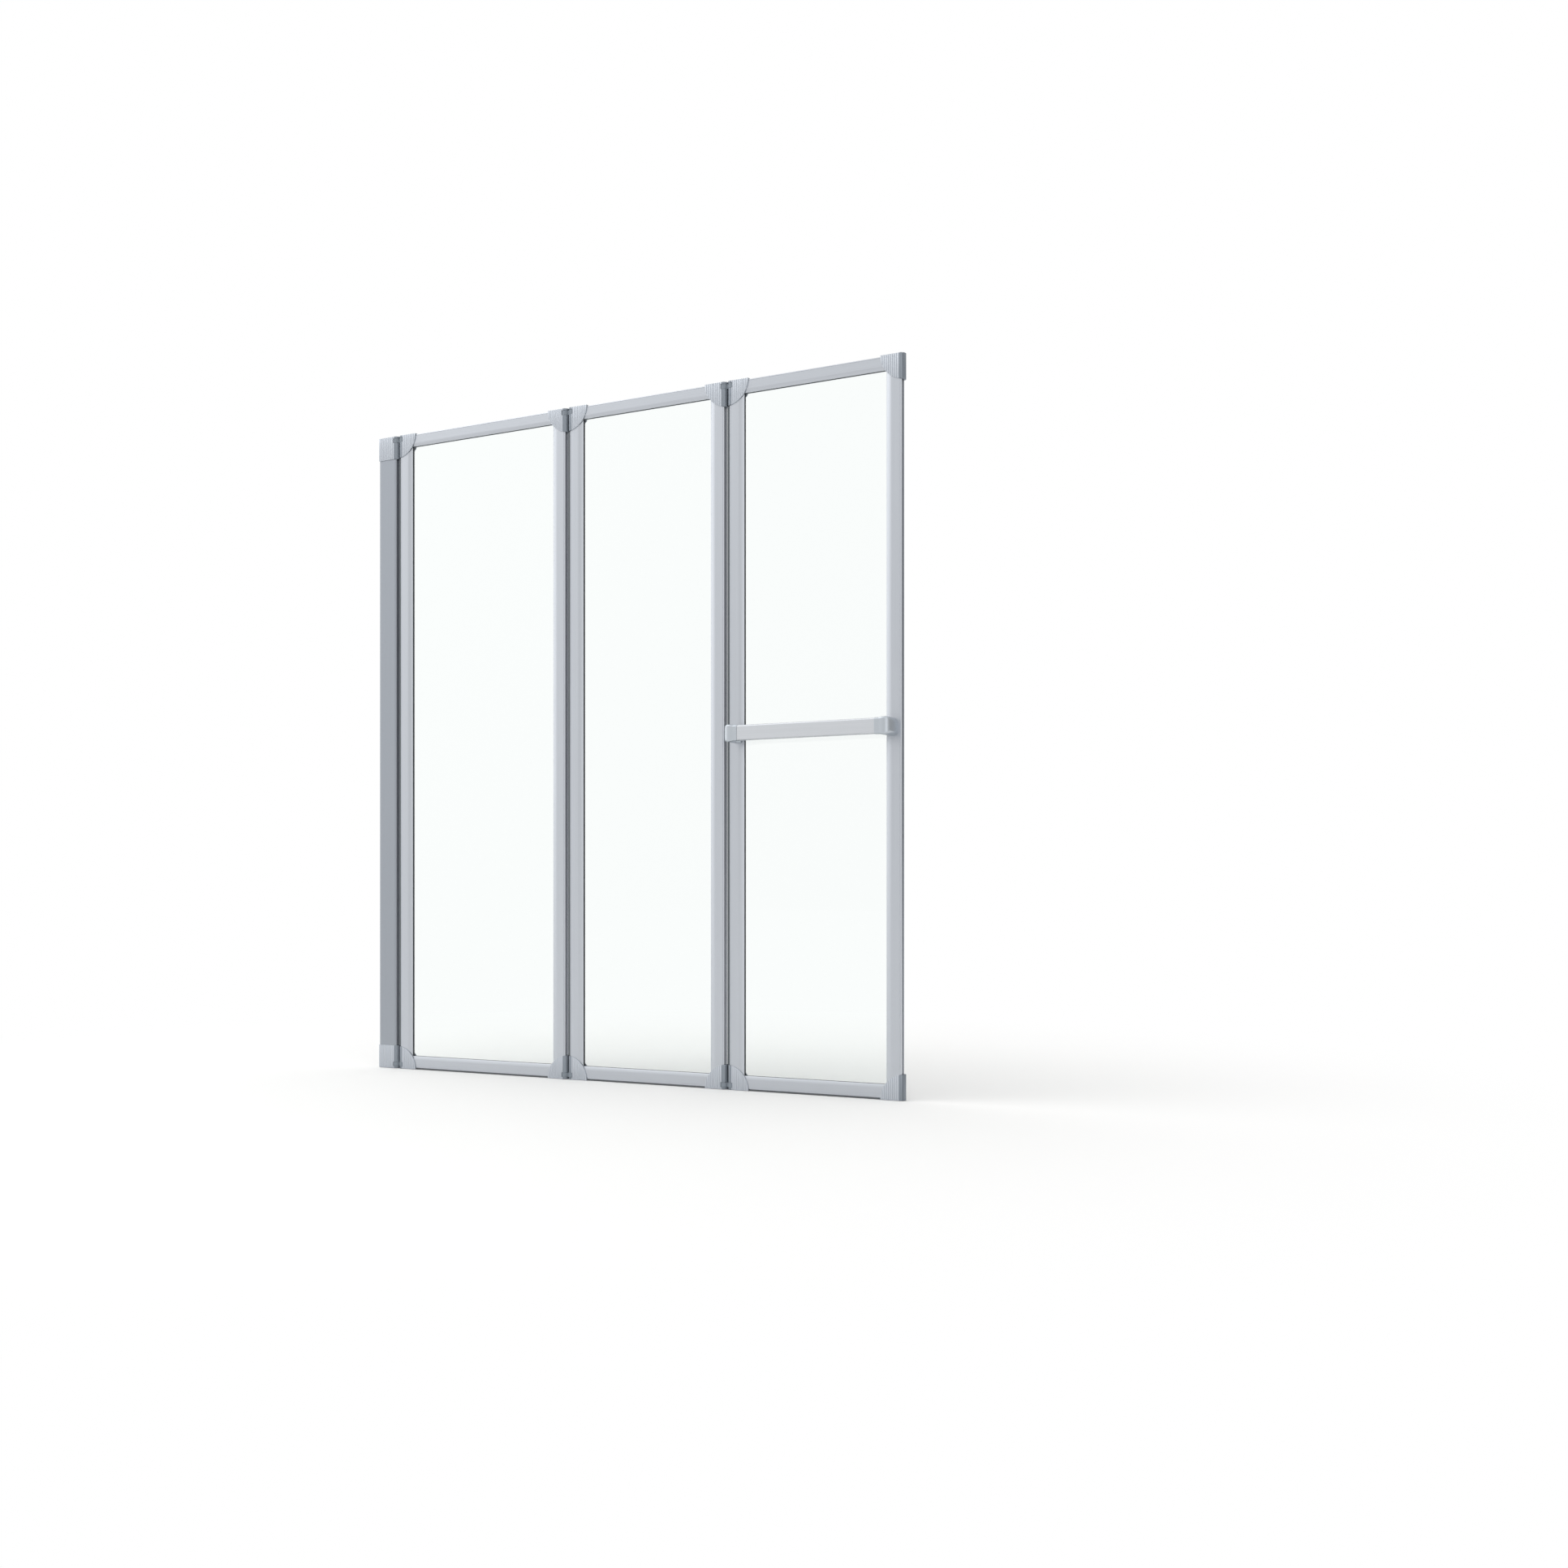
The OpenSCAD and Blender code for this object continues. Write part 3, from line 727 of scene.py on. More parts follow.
def cap_columns(s, width):
    """(distance from the hinge line, depth below the face) along a cap's face."""
    nose = [(PIN_U - NOSE * math.cos(math.radians(a)), None) for a in range(0, 90, 9)]
    neck = PIN_U + 1.6 * MM
    columns = [(PIN_U, 0)]
    columns += [(neck + at * MM, share * s.neck_depth) for at, share in NECK_SHAPE]
    centre = s.rib_start
    while centre <= width - s.rib_width:
        columns += [
            (centre + at * s.rib_width / 2, share * s.rib_depth) for at, share in RIB_SHAPE
        ]
        centre += s.rib_pitch
    taken = [u for u, _ in columns]
    rim = [width * math.cos(math.radians(a)) for a in range(0, 72, 4)]
    rim = [u for u in rim if all(abs(u - other) > 0.35 * MM for other in taken)]

    def depth(u):
        before = max((c for c in columns if c[0] <= u), key=lambda c: c[0])
        after = [c for c in columns if c[0] > u]
        if not after:
            return 0
        after = min(after, key=lambda c: c[0])
        return before[1] + (after[1] - before[1]) * (u - before[0]) / (after[0] - before[0])

    columns += [(u, depth(u)) for u in rim if u > neck]
    return nose + sorted(columns)


def cap_body(s, width, top_at):
    """A cap as one solid block with ribs on both faces and a rounded nose.

    top_at gives the height of its top at a distance from the hinge line.
    """
    columns = cap_columns(s, width)
    insets = [step * s.soft_edge for step in EDGE_STEPS]
    rows = [(-1, inset) for inset in insets] + [(1, inset) for inset in reversed(insets)]
    bm = bmesh.new()
    bmesh.ops.create_grid(
        bm, x_segments=len(columns) - 1, y_segments=len(rows) - 1, size=1
    )
    lower = bm.verts[:]
    grown = bmesh.ops.extrude_face_region(bm, geom=bm.faces[:])["geom"]
    upper = [v for v in grown if isinstance(v, bmesh.types.BMVert)]
    for verts, is_top in ((lower, False), (upper, True)):
        for vert in verts:
            u, depth = columns[round((vert.co.x + 1) / 2 * (len(columns) - 1))]
            side, inset = rows[round((vert.co.y + 1) / 2 * (len(rows) - 1))]
            if depth is None:
                turn = math.acos((PIN_U - u) / NOSE)
                at = PIN_U - (NOSE - inset) * math.cos(turn)
                y = (NOSE - inset) * math.sin(turn)
            else:
                at, y = u, CAP_Y - depth - inset
            drop = s.soft_edge * (1 - math.sqrt(1 - (1 - inset / s.soft_edge) ** 2))
            at, top = top_at(at, drop)
            vert.co = (at, side * max(y, 0), top if is_top else min(drop, top))
    outward(bm)
    # the two halves of the nose's end wall meet in the middle
    inside = [f for f in bm.faces if all(abs(v.co.y) < 1e-7 for v in f.verts)]
    bmesh.ops.delete(bm, geom=inside, context="FACES")
    return outward(bm)


def quarter(radius):
    """Heights of a quarter disc about the hinge line, softened by drop at its rim."""

    def top_at(u, drop):
        at = min(u, radius - drop)
        return at, math.sqrt(max((radius - drop) ** 2 - at**2, 0))

    return top_at


def rail_edges(end):
    """A rail's outer and inner edge, measured from the end of the screen that it is at."""
    if end == "top":
        return TOP_Z - TOP_RAIL_HIGH.z, TOP_Z - TOP_RAIL_LOW.z
    return BOTTOM_RAIL_LOW.z, BOTTOM_RAIL_HIGH.z


def corner_screws(end):
    """(distance from the hinge line, height) of the screws to the stile and to the rail."""
    low, core = rail_edges(end)
    stile_z = (core + math.sqrt(CAP_R**2 - STILE_SCREW_U**2)) / 2
    return (STILE_SCREW_U, stile_z), (INNER + RAIL_SCREW_IN, low + RAIL_SCREW_UP)


def corner_cap(s, hinged, end):
    """A corner cap with room for the stile, the rail, the glass and the link."""
    low, core = rail_edges(end)
    far = CAP_R + 2 * MM
    groove = s.groove_width / 2
    stile_and_rail = (
        (EDGE_GAP, core, 0),
        (INNER, core, 0),
        (INNER, low, 0),
        (far, low, 0),
        (far, far, 0),
        (EDGE_GAP, far, 0),
    )
    frame_room = extrusion([stile_and_rail], 2 * FRAME_Y)
    frame_room.transform(axes((1, 0, 0), (0, 0, 1), (0, 1, 0), (0, -FRAME_Y, 0)))
    glass_room = block(
        (INNER - s.groove_depth, -groove, core - s.groove_depth),
        (INNER + MM, groove, core + MM),
    )
    tools = [frame_room, glass_room, *nose_lines(s, far)]
    if hinged:
        tools += hinge_room()
    for u, z in corner_screws(end):
        tools += screw_room(u, z)
    body = combine(cap_body(s, CAP_R, quarter(CAP_R)), combine(*tools, operation="UNION"))
    start = s.slot_depth + s.wall + FIT
    room = FRAME_Y - s.wall - FIT
    stop = s.groove_depth + s.wall + FIT
    stile_tongue = block(
        (EDGE_GAP + start, -room, core - MM), (INNER - stop, room, core + TONGUE)
    )
    rail_tongue = block(
        (INNER - MM, -room, low + start), (INNER + TONGUE, room, low + RAIL_W - stop)
    )
    tongues = combine(stile_tongue, rail_tongue, operation="UNION")
    return dark_nosed(combine(body, tongues, operation="UNION"))


def dark_nosed(cap):
    """Gives a cap's nose, up to the groove beside it, the second finish."""
    for face in cap.faces:
        face.material_index = int(face.calc_center_median().x < PIN_U + MM)
    return cap


def nose_lines(s, length):
    """Tools for the grooves down the front and the back of a nose."""
    half = s.nose_line_width / 2
    section = rectangle(-NOSE - s.nose_line_depth, -half, s.nose_line_depth - NOSE, half)
    for side in (-1, 1):
        groove = extrusion([section], length + MM)
        turn = Matrix.Rotation(side * NOSE_LINE_TURN, 4, "Z")
        groove.transform(Matrix.Translation((PIN_U, 0, -MM)) @ turn)
        yield groove


def hinge_room():
    """Notch, round pocket and pin bore in a hinged cap."""
    far = CAP_Y + MM
    low, high = LINK_ROOM
    pocket = bmesh.new()
    bmesh.ops.create_circle(
        pocket,
        cap_ends=True,
        segments=64,
        radius=POCKET,
        matrix=Matrix.Translation((PIN_U, 0, 0)),
    )
    bmesh.ops.bisect_plane(
        pocket,
        geom=[*pocket.verts, *pocket.edges, *pocket.faces],
        dist=1e-7,
        plane_co=(NOTCH - 0.2 * MM, 0, 0),
        plane_no=(1, 0, 0),
        clear_inner=True,
    )
    extrude(pocket, high - low)
    pocket.transform(Matrix.Translation((0, 0, low)))
    return [
        block((-MM, -far, low), (NOTCH, far, high)),
        pocket,
        rod((PIN_U, 0, 0.8 * MM), (PIN_U, 0, POST_INSET + FIT), PIN_BORE, 32),
    ]


def screw_room(u, z):
    """Hole and counterbore for a small screw from the back."""
    far = CAP_Y + MM
    return [
        rod((u, -MM, z), (u, far, z), 1.55 * MM, 24),
        rod((u, HEAD_SEAT, z), (u, far, z), HEAD_RADIUS + 0.2 * MM, 32),
    ]


def wall_cap(s):
    """A cap of the wall post, open to the wall channel."""
    width = LINES[0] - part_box("wall_cap_bottom")[0].x
    open_u = EDGE_GAP + s.slot_depth + 2 * s.wall + POST_CHAMBER
    room = FRAME_Y - s.wall
    far = WALL_CAP_H + MM
    tools = combine(
        block((EDGE_GAP, -FRAME_Y, POST_INSET), (width + MM, FRAME_Y, far)),
        block((open_u, -room, -MM), (width + 2 * MM, room, far + MM)),
        *nose_lines(s, far),
        *hinge_room(),
        *screw_room(WALL_SCREW_U, WALL_SCREW_Z),
        operation="UNION",
    )
    body = combine(cap_body(s, width, lambda u, drop: (u, WALL_CAP_H - drop)), tools)
    start = EDGE_GAP + s.slot_depth + s.wall + FIT
    tongue = block(
        (start, FIT - room, POST_INSET - MM),
        (start + POST_CHAMBER - 2 * FIT, room - FIT, POST_INSET + TONGUE),
    )
    return dark_nosed(combine(body, tongue, operation="UNION"))


def cap_line(panel, side):
    """The line that a panel's cap turns about."""
    return LINES[panel - 1] if side == "left" else LINES[panel]


def cap_place(line, side, end):
    """Where a cap drawn at the hinge line and the bath rim goes."""
    sign = 1 if side == "left" else -1
    if end == "top":
        return axes((sign, 0, 0), (0, 1, 0), (0, 0, -1), (line, 0, TOP_Z))
    return axes((sign, 0, 0), (0, 1, 0), (0, 0, 1), (line, 0, 0))


class BATHSCREEN_OT_caps(bpy.types.Operator):
    """Moulds the ribbed corner caps and the wall post's caps"""

    bl_idname = "bathscreen.caps"
    bl_label = "Corner caps"

    def execute(self, context):
        s = context.scene.bath_screen_sizes
        for end in ENDS:
            shapes = {hinged: corner_cap(s, hinged, end) for hinged in (True, False)}
            for panel in PANELS:
                for side in SIDES:
                    node = f"panel_{panel}_cap_{end}_{side}"
                    hinged = not (panel == 3 and side == "right")
                    place = cap_place(cap_line(panel, side), side, end)
                    cap = placed(shapes[hinged], place)
                    finished(cap, node, "moulding", "caps noses", even=False)
            cap = placed(wall_cap(s), cap_place(LINES[0], "right", end))
            finished(
                cap, f"wall_cap_{end}", "moulding", "caps noses", even=False
            )
        return {"FINISHED"}


class BATHSCREEN_OT_links(bpy.types.Operator):
    """Moulds the double-barrel links of the three hinges"""

    bl_idname = "bathscreen.links"
    bl_label = "Hinge links"

    def execute(self, context):
        barrel = (LINK_HIGH.y - LINK_LOW.y) / 2
        web = 3.5 * MM
        low = LINK_LOW.z
        high = TOP_Z - LINK_HIGH.z + 9.4 * MM
        pins = (-PIN_U, PIN_U)
        shape = combine(
            *(rod((u, 0, low), (u, 0, high), barrel, 64) for u in pins),
            block((-PIN_U, -web, low), (PIN_U, web, high)),
            operation="UNION",
        )
        shape = combine(
            shape, *(rod((u, 0, low - MM), (u, 0, high + MM), LINK_BORE, 32) for u in pins)
        )
        rims = [
            e
            for e in shape.edges
            if e.is_manifold
            and e.calc_face_angle(0) > 1
            and abs(e.verts[0].co.z - e.verts[1].co.z) < 1e-6
        ]
        round_off(shape, rims, 0.35 * MM)
        for line, node in zip(LINES, ("wall_hinge_links", "hinge_12_links", "hinge_23_links")):
            pair = joined([placed(shape, cap_place(line, "left", end)) for end in ENDS])
            finished(pair, node, "mouldings", "links")
        return {"FINISHED"}


# ---- glass and rubber ----

STEM = 1.9 * MM  # half the thickness of a seal's stem, which fits the slots


class BATHSCREEN_OT_glazing(bpy.types.Operator):
    """Sets the glass panes in their rubber gaskets"""

    bl_idname = "bathscreen.glazing"
    bl_label = "Glass and gaskets"

    def gasket(self, s, panel, pane_low, pane_high):
        """A rubber strip round a pane, with a soft lip that shows beyond the frame."""
        node = f"panel_{panel}_glazing_gasket"
        low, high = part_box(node)
        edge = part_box(f"panel_{panel}_left_stile")[1].x - low.x
        reach_x, reach_z = edge + s.stile_lip, edge + s.rail_lip
        inner_low, inner_high = low.x + reach_x, high.x - reach_x
        rubber = extrusion(
            [
                rectangle(low.x, low.z, high.x, high.z),
                rectangle(inner_low, low.z + reach_z, inner_high, high.z - reach_z),
            ],
            2 * high.y,
        )
        rubber.transform(axes((1, 0, 0), (0, 0, 1), (0, 1, 0), (0, -high.y, 0)))
        outward(rubber)
        lips = [
            e
            for e in rubber.edges
            if e.calc_face_angle(0) > 1
            and all(inner_low - MM < v.co.x < inner_high + MM for v in e.verts)
            and abs(e.verts[0].co.y - e.verts[1].co.y) < 1e-6
        ]
        round_off(rubber, lips, 0.2 * MM)
        gap = Vector((0, 0.05 * MM, 0))
        rubber = combine(rubber, block(pane_low - gap, pane_high + gap))
        finished(rubber, node, "strip", "gasket")

    def execute(self, context):
        s = context.scene.bath_screen_sizes
        for panel in PANELS:
            node = f"panel_{panel}_glass"
            low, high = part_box(node)
            pane = block(low, high)
            round_off(pane, pane.edges[:], s.arris)
            # its faces stay flat, because blended ones would bend what shows through them
            finished(pane, node, "pane", "glass", 20)
            self.gasket(s, panel, low, high)
        return {"FINISHED"}


class BATHSCREEN_OT_seals(bpy.types.Operator):
    """Extrudes the soft edge seals and the bottom seals"""

    bl_idname = "bathscreen.seals"
    bl_label = "Seals"

    def edge_seal(self, s, panel):
        """A hollow bulb beside a panel's left stile, with a stem in the stile's slot."""
        node = f"panel_{panel}_edge_seal"
        low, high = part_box(node)
        line = LINES[panel - 1]
        front = low.x - line
        if panel > 1:  # between two corner caps the bulb ends just short of them
            low.z = CAP_R + 0.3 * MM
            high.z = TOP_Z - low.z
        skins = []
        for skin, back_rounding in ((0, 0), (s.bulb_wall, 0.3 * MM)):
            y = high.y - skin
            skins.append(
                [
                    (front + skin, -y, 0.99 * y),
                    (EDGE_GAP - skin, -y, back_rounding),
                    (EDGE_GAP - skin, y, back_rounding),
                    (front + skin, y, 0.99 * y),
                ]
            )
        bulb = extrusion(skins, high.z - low.z, 12)
        bulb.transform(Matrix.Translation((0, 0, low.z)))
        stem = block((EDGE_GAP - 0.3 * MM, -STEM, low.z), (high.x - line, STEM, high.z))
        seal = combine(bulb, stem, operation="UNION")
        seal.transform(Matrix.Translation((line, 0, 0)))
        finished(seal, node, "strip", "edge_seals")

    def bottom_seal(self, panel):
        """A strip in the bottom rail's slot with two lips that stand on the bath's rim."""
        node = f"panel_{panel}_bottom_seal"
        low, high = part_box(node)
        lip = 1.4 * MM
        rim = BOTTOM_RAIL_LOW.z
        half = [
            (high.z, STEM, 0.3 * MM),
            (rim, STEM, 0),
            (rim, high.y, 0.4 * MM),
            (low.z, high.y, 0.5 * MM),
            (low.z, high.y - lip, 0.5 * MM),
            (rim - lip, high.y - lip, 0.4 * MM),
        ]
        drip = extrusion([mirrored(half)], high.x - low.x, 4)
        drip.transform(axes((0, 0, 1), (0, 1, 0), (1, 0, 0), (low.x, 0, 0)))
        finished(drip, node, "strip", "bottom_seals")

    def execute(self, context):
        for panel in PANELS:
            self.edge_seal(context.scene.bath_screen_sizes, panel)
            self.bottom_seal(panel)
        return {"FINISHED"}


# ---- towel rail ----

BAR_EDGE = 3.5 * MM  # rounding of the bar's edges


def rounded_section(front, back, half, front_rounding, back_rounding):
    """Points (y, z) round a section whose four corners are rounded; the first one comes twice."""
    points = []
    for turn in (180, 90, 0, -90):
        at_front = turn in (180, -90)
        rounding = front_rounding if at_front else back_rounding
        y = front + rounding if at_front else back - rounding
        z = half - rounding if turn > 0 else rounding - half
        for step in range(6):
            a = math.radians(turn - 18 * step)
            points.append((y + rounding * math.cos(a), z + rounding * math.sin(a)))
    return points + points[:1]


def bracket_sections(s, low, high):
    """A bracket's sections from its outer side to the mouth of its sleeve, as (u, points)."""
    start = low.x - LINES[2]
    mouth = high.x - LINES[2]
    foot_end = start + s.bracket_foot
    flare_start = start + s.bracket_elbow + 3 * MM
    flare_end = mouth - 8 * MM
    half_foot = (high.z - low.z) / 2
    half_sleeve = (BAR_HIGH.z - BAR_LOW.z) / 2 + s.bracket_sleeve
    sleeve_front = BAR_LOW.y - s.bracket_sleeve
    sleeve_back = BAR_HIGH.y + s.bracket_sleeve
    corner = 8 * MM
    fillet = flare_end - foot_end

    def section(u, back, back_rounding, inset=0):
        """The section at a distance from the hinge line."""
        elbow = max(0, s.bracket_elbow - (u - start))
        front = low.y + s.bracket_elbow - math.sqrt(s.bracket_elbow**2 - elbow**2)
        cut = max(0, corner - (u - start))
        half = half_foot - corner + math.sqrt(corner**2 - cut**2)
        share = min(1, max(0, (u - flare_start) / (flare_end - flare_start)))
        share = share**2 * (3 - 2 * share)
        front += share * (sleeve_front - low.y) + inset
        half += share * (half_sleeve - half_foot) - inset
        return u, rounded_section(front, back - inset, half, s.bracket_edge, back_rounding)

    flat = 0.6 * MM
    sections = [
        section(start + s.bracket_elbow * (1 - math.cos(math.radians(9 * step))), high.y, flat)
        for step in range(11)
    ]
    steps = 5
    for step in range(steps + 1):
        u = flare_start + (foot_end - flare_start) * step / steps
        sections.append(section(u, high.y, flat))
    for step in range(steps + 1):
        a = math.pi / 2 * step / steps
        u = foot_end + fillet * (1 - math.cos(a))
        back = sleeve_back + fillet * (1 - math.sin(a))
        sections.append(section(u, back, flat + (s.bracket_edge - flat) * step / steps))
    lip = 0.25 * MM
    for step in range(3):
        a = math.pi / 4 * step
        u = mouth - lip * (1 - math.sin(a))
        sections.append(section(u, sleeve_back, s.bracket_edge, lip * (1 - math.cos(a))))
    return sections


def bracket(s, low, high):
    """A towel-rail bracket drawn from the hinge line: a rounded foot that narrows to a sleeve."""
    sections = bracket_sections(s, low, high)
    body = bmesh.new()
    columns, rows = len(sections) - 1, len(sections[0][1]) - 1
    bmesh.ops.create_grid(body, x_segments=columns, y_segments=rows, size=1)
    for vert in body.verts:
        u, points = sections[round((vert.co.x + 1) / 2 * columns)]
        y, z = points[round((vert.co.y + 1) / 2 * rows)]
        vert.co = (u, y, z)
    bmesh.ops.remove_doubles(body, verts=body.verts[:], dist=0.002 * MM)
    bmesh.ops.holes_fill(body, edges=body.edges[:], sides=0)
    gap = 0.2 * MM
    half_y = (BAR_HIGH.y - BAR_LOW.y) / 2 + gap
    half_z = (BAR_HIGH.z - BAR_LOW.z) / 2 + gap
    depth = 15 * MM
    section = rectangle(-half_z, -half_y, half_z, half_y, BAR_EDGE + gap)
    socket = extrusion([section], depth + 5 * MM)
    place = (sections[-1][0] - depth, (BAR_LOW.y + BAR_HIGH.y) / 2, 0)
    socket.transform(axes((0, 0, 1), (0, 1, 0), (1, 0, 0), place))
    return combine(body, socket)


class BATHSCREEN_OT_towel_rail(bpy.types.Operator):
    """Makes the towel bar and its two brackets"""

    bl_idname = "bathscreen.towel_rail"
    bl_label = "Towel rail"

    def execute(self, context):
        s = context.scene.bath_screen_sizes
        size_x, size_y, size_z = BAR_HIGH - BAR_LOW
        half_y, half_z = size_y / 2, size_z / 2
        wall = 1.5 * MM
        outer = rectangle(-half_z, -half_y, half_z, half_y, BAR_EDGE)
        hollow = rectangle(wall - half_z, wall - half_y, half_z - wall, half_y - wall, 2.2 * MM)
        bar = extrusion([outer, hollow], size_x, 8)
        middle = (BAR_LOW + BAR_HIGH) / 2
        bar.transform(axes((0, 0, 1), (0, 1, 0), (1, 0, 0), (BAR_LOW.x, middle.y, middle.z)))
        finished(bar, "towel_bar", "extrusion", "bar")
        shape = bracket(s, *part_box("towel_bracket_left"))
        for side, line, sign in (("left", LINES[2], 1), ("right", LINES[3], -1)):
            place = axes((sign, 0, 0), (0, 1, 0), (0, 0, 1), (line, 0, middle.z))
            node = f"towel_bracket_{side}"
            finished(
                placed(shape, place), node, "moulding", "brackets", 40
            )
        return {"FINISHED"}


# ---- screws ----

BIG_HEAD_RADIUS = 3.5 * MM


def screw(head, head_height, shank, length):
    """A pan-head screw with a cross recess; its head's seat is at y = 0 and it points along -Y."""
    top = rod((0, 0, 0), (0, head_height, 0), head, 32)
    rim = [e for e in top.edges if all(v.co.y > head_height / 2 for v in e.verts)]
    round_off(top, rim, 0.6 * head_height, 4)
    arm, width, floor = 0.62 * head, 0.16 * head, 0.35 * head_height
    far = head_height + MM
    top = combine(
        top,
        block((-arm, floor, -width), (arm, far, width)),
        block((-width, floor, -arm), (width, far, arm)),
    )
    shaft = rod((0, -length, 0), (0, 0.2 * head_height, 0), shank, 24)
    return combine(top, shaft, operation="UNION")


def screw_set(node, one, places):
    """Puts copies of a screw in their places, as one piece."""
    copies = joined([placed(one, place) for place in places])
    finished(copies, node, "set", "steel")


class BATHSCREEN_OT_screws(bpy.types.Operator):
    """Makes the corner screws, the adjusting screws and the towel rail's screws"""

    bl_idname = "bathscreen.screws"
    bl_label = "Screws"

    def execute(self, context):
        at = Matrix.Translation
        small = screw(HEAD_RADIUS, HEAD_HEIGHT, 1.5 * MM, HEAD_SEAT)
        for panel in PANELS:
            places = [
                cap_place(cap_line(panel, side), side, end) @ at((u, HEAD_SEAT, z))
                for side in SIDES
                for end in ENDS
                for u, z in corner_screws(end)
            ]
            screw_set(f"panel_{panel}_corner_screws", small, places)
        spot = at((WALL_SCREW_U, HEAD_SEAT, WALL_SCREW_Z))
        places = [cap_place(LINES[0], "right", end) @ spot for end in ENDS]
        screw_set("wall_cap_screws", small, places)
        low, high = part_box("adjusting_screws")
        x = (low.x + high.x) / 2
        middle = (low.z + high.z) / 2
        reach = (high.z - low.z) / 2 - BIG_HEAD_RADIUS
        long = screw(BIG_HEAD_RADIUS, 2 * MM, 2 * MM, FRAME_Y - low.y)
        places = [at((x, FRAME_Y, middle + k * reach)) for k in (-1, 0, 1)]
        screw_set("adjusting_screws", long, places)
        low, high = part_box("towel_bracket_screws")
        long = screw(BIG_HEAD_RADIUS, 2 * MM, 2 * MM, FRAME_Y - low.y)
        places = [
            at((x, FRAME_Y, z))
            for x in (low.x + BIG_HEAD_RADIUS, high.x - BIG_HEAD_RADIUS)
            for z in (low.z + BIG_HEAD_RADIUS, high.z - BIG_HEAD_RADIUS)
        ]
        screw_set("towel_bracket_screws", long, places)
        return {"FINISHED"}


class BATHSCREEN_OT_kept(bpy.types.Operator):
    """Gives the wall channel and the hinge pins, kept from the model, their finishes"""

    bl_idname = "bathscreen.kept"
    bl_label = "Channel and pins"

    def execute(self, context):
        kinds = {"wall_channel": "channel", "wall_hinge_pins": "steel"}
        kinds.update({f"panel_{panel}_hinge_pins": "steel" for panel in PANELS})
        for node, kind in kinds.items():
            mesh = frame["nodes"][node].data
            mesh.materials.clear()
            mesh.materials.append(finish(kind))
        return {"FINISHED"}


# ---- stage ----

SOFT_BASE = 0.17  # strength of the soft light that comes from everywhere
SOFT_LIGHTS = (  # (where more of it comes from, how narrow that light is, its strength)
    ((-1, -0.15, 0.1), 3, 1.7),  # the left, for the falls that face it
    ((0.35, -0.94, 0), 1.5, 0.43),  # the front
    ((0.6, -0.8, 0), 6, 1.0),  # the front right, narrow, for the rounded edges
    ((0, 0, 1), 1.2, 1.0),  # above
)
MIRRORED_WHITE = 0.3  # more of the flat white would take the shape out of the metal's tones


def lamp(name, place, target, size_m, power):
    """A white, square soft box that faces the target."""
    data = bpy.data.lights.new(name, "AREA")
    data.size = size_m
    data.energy = power
    box = bpy.data.objects.new(name, data)
    box.location = place
    box.rotation_mode = "QUATERNION"
    box.rotation_quaternion = (Vector(target) - Vector(place)).to_track_quat("-Z", "Y")
    bpy.context.scene.collection.objects.link(box)


def seen_share(tree, mirrored_share):
    """How much of the flat white a ray sees: all of it straight on and through the glass,
    and the given share of it in a mirror."""
    rays = add_node(tree, "LightPath").outputs
    glossy = add_node(
        tree, "Math", {0: rays["Is Glossy Ray"], 1: mirrored_share}, operation="MULTIPLY"
    ).outputs[0]
    direct = add_node(
        tree,
        "Math",
        {0: rays["Is Camera Ray"], 1: rays["Is Transmission Ray"]},
        operation="MAXIMUM",
    ).outputs[0]
    return add_node(tree, "Math", {0: direct, 1: glossy}, operation="MAXIMUM").outputs[0]


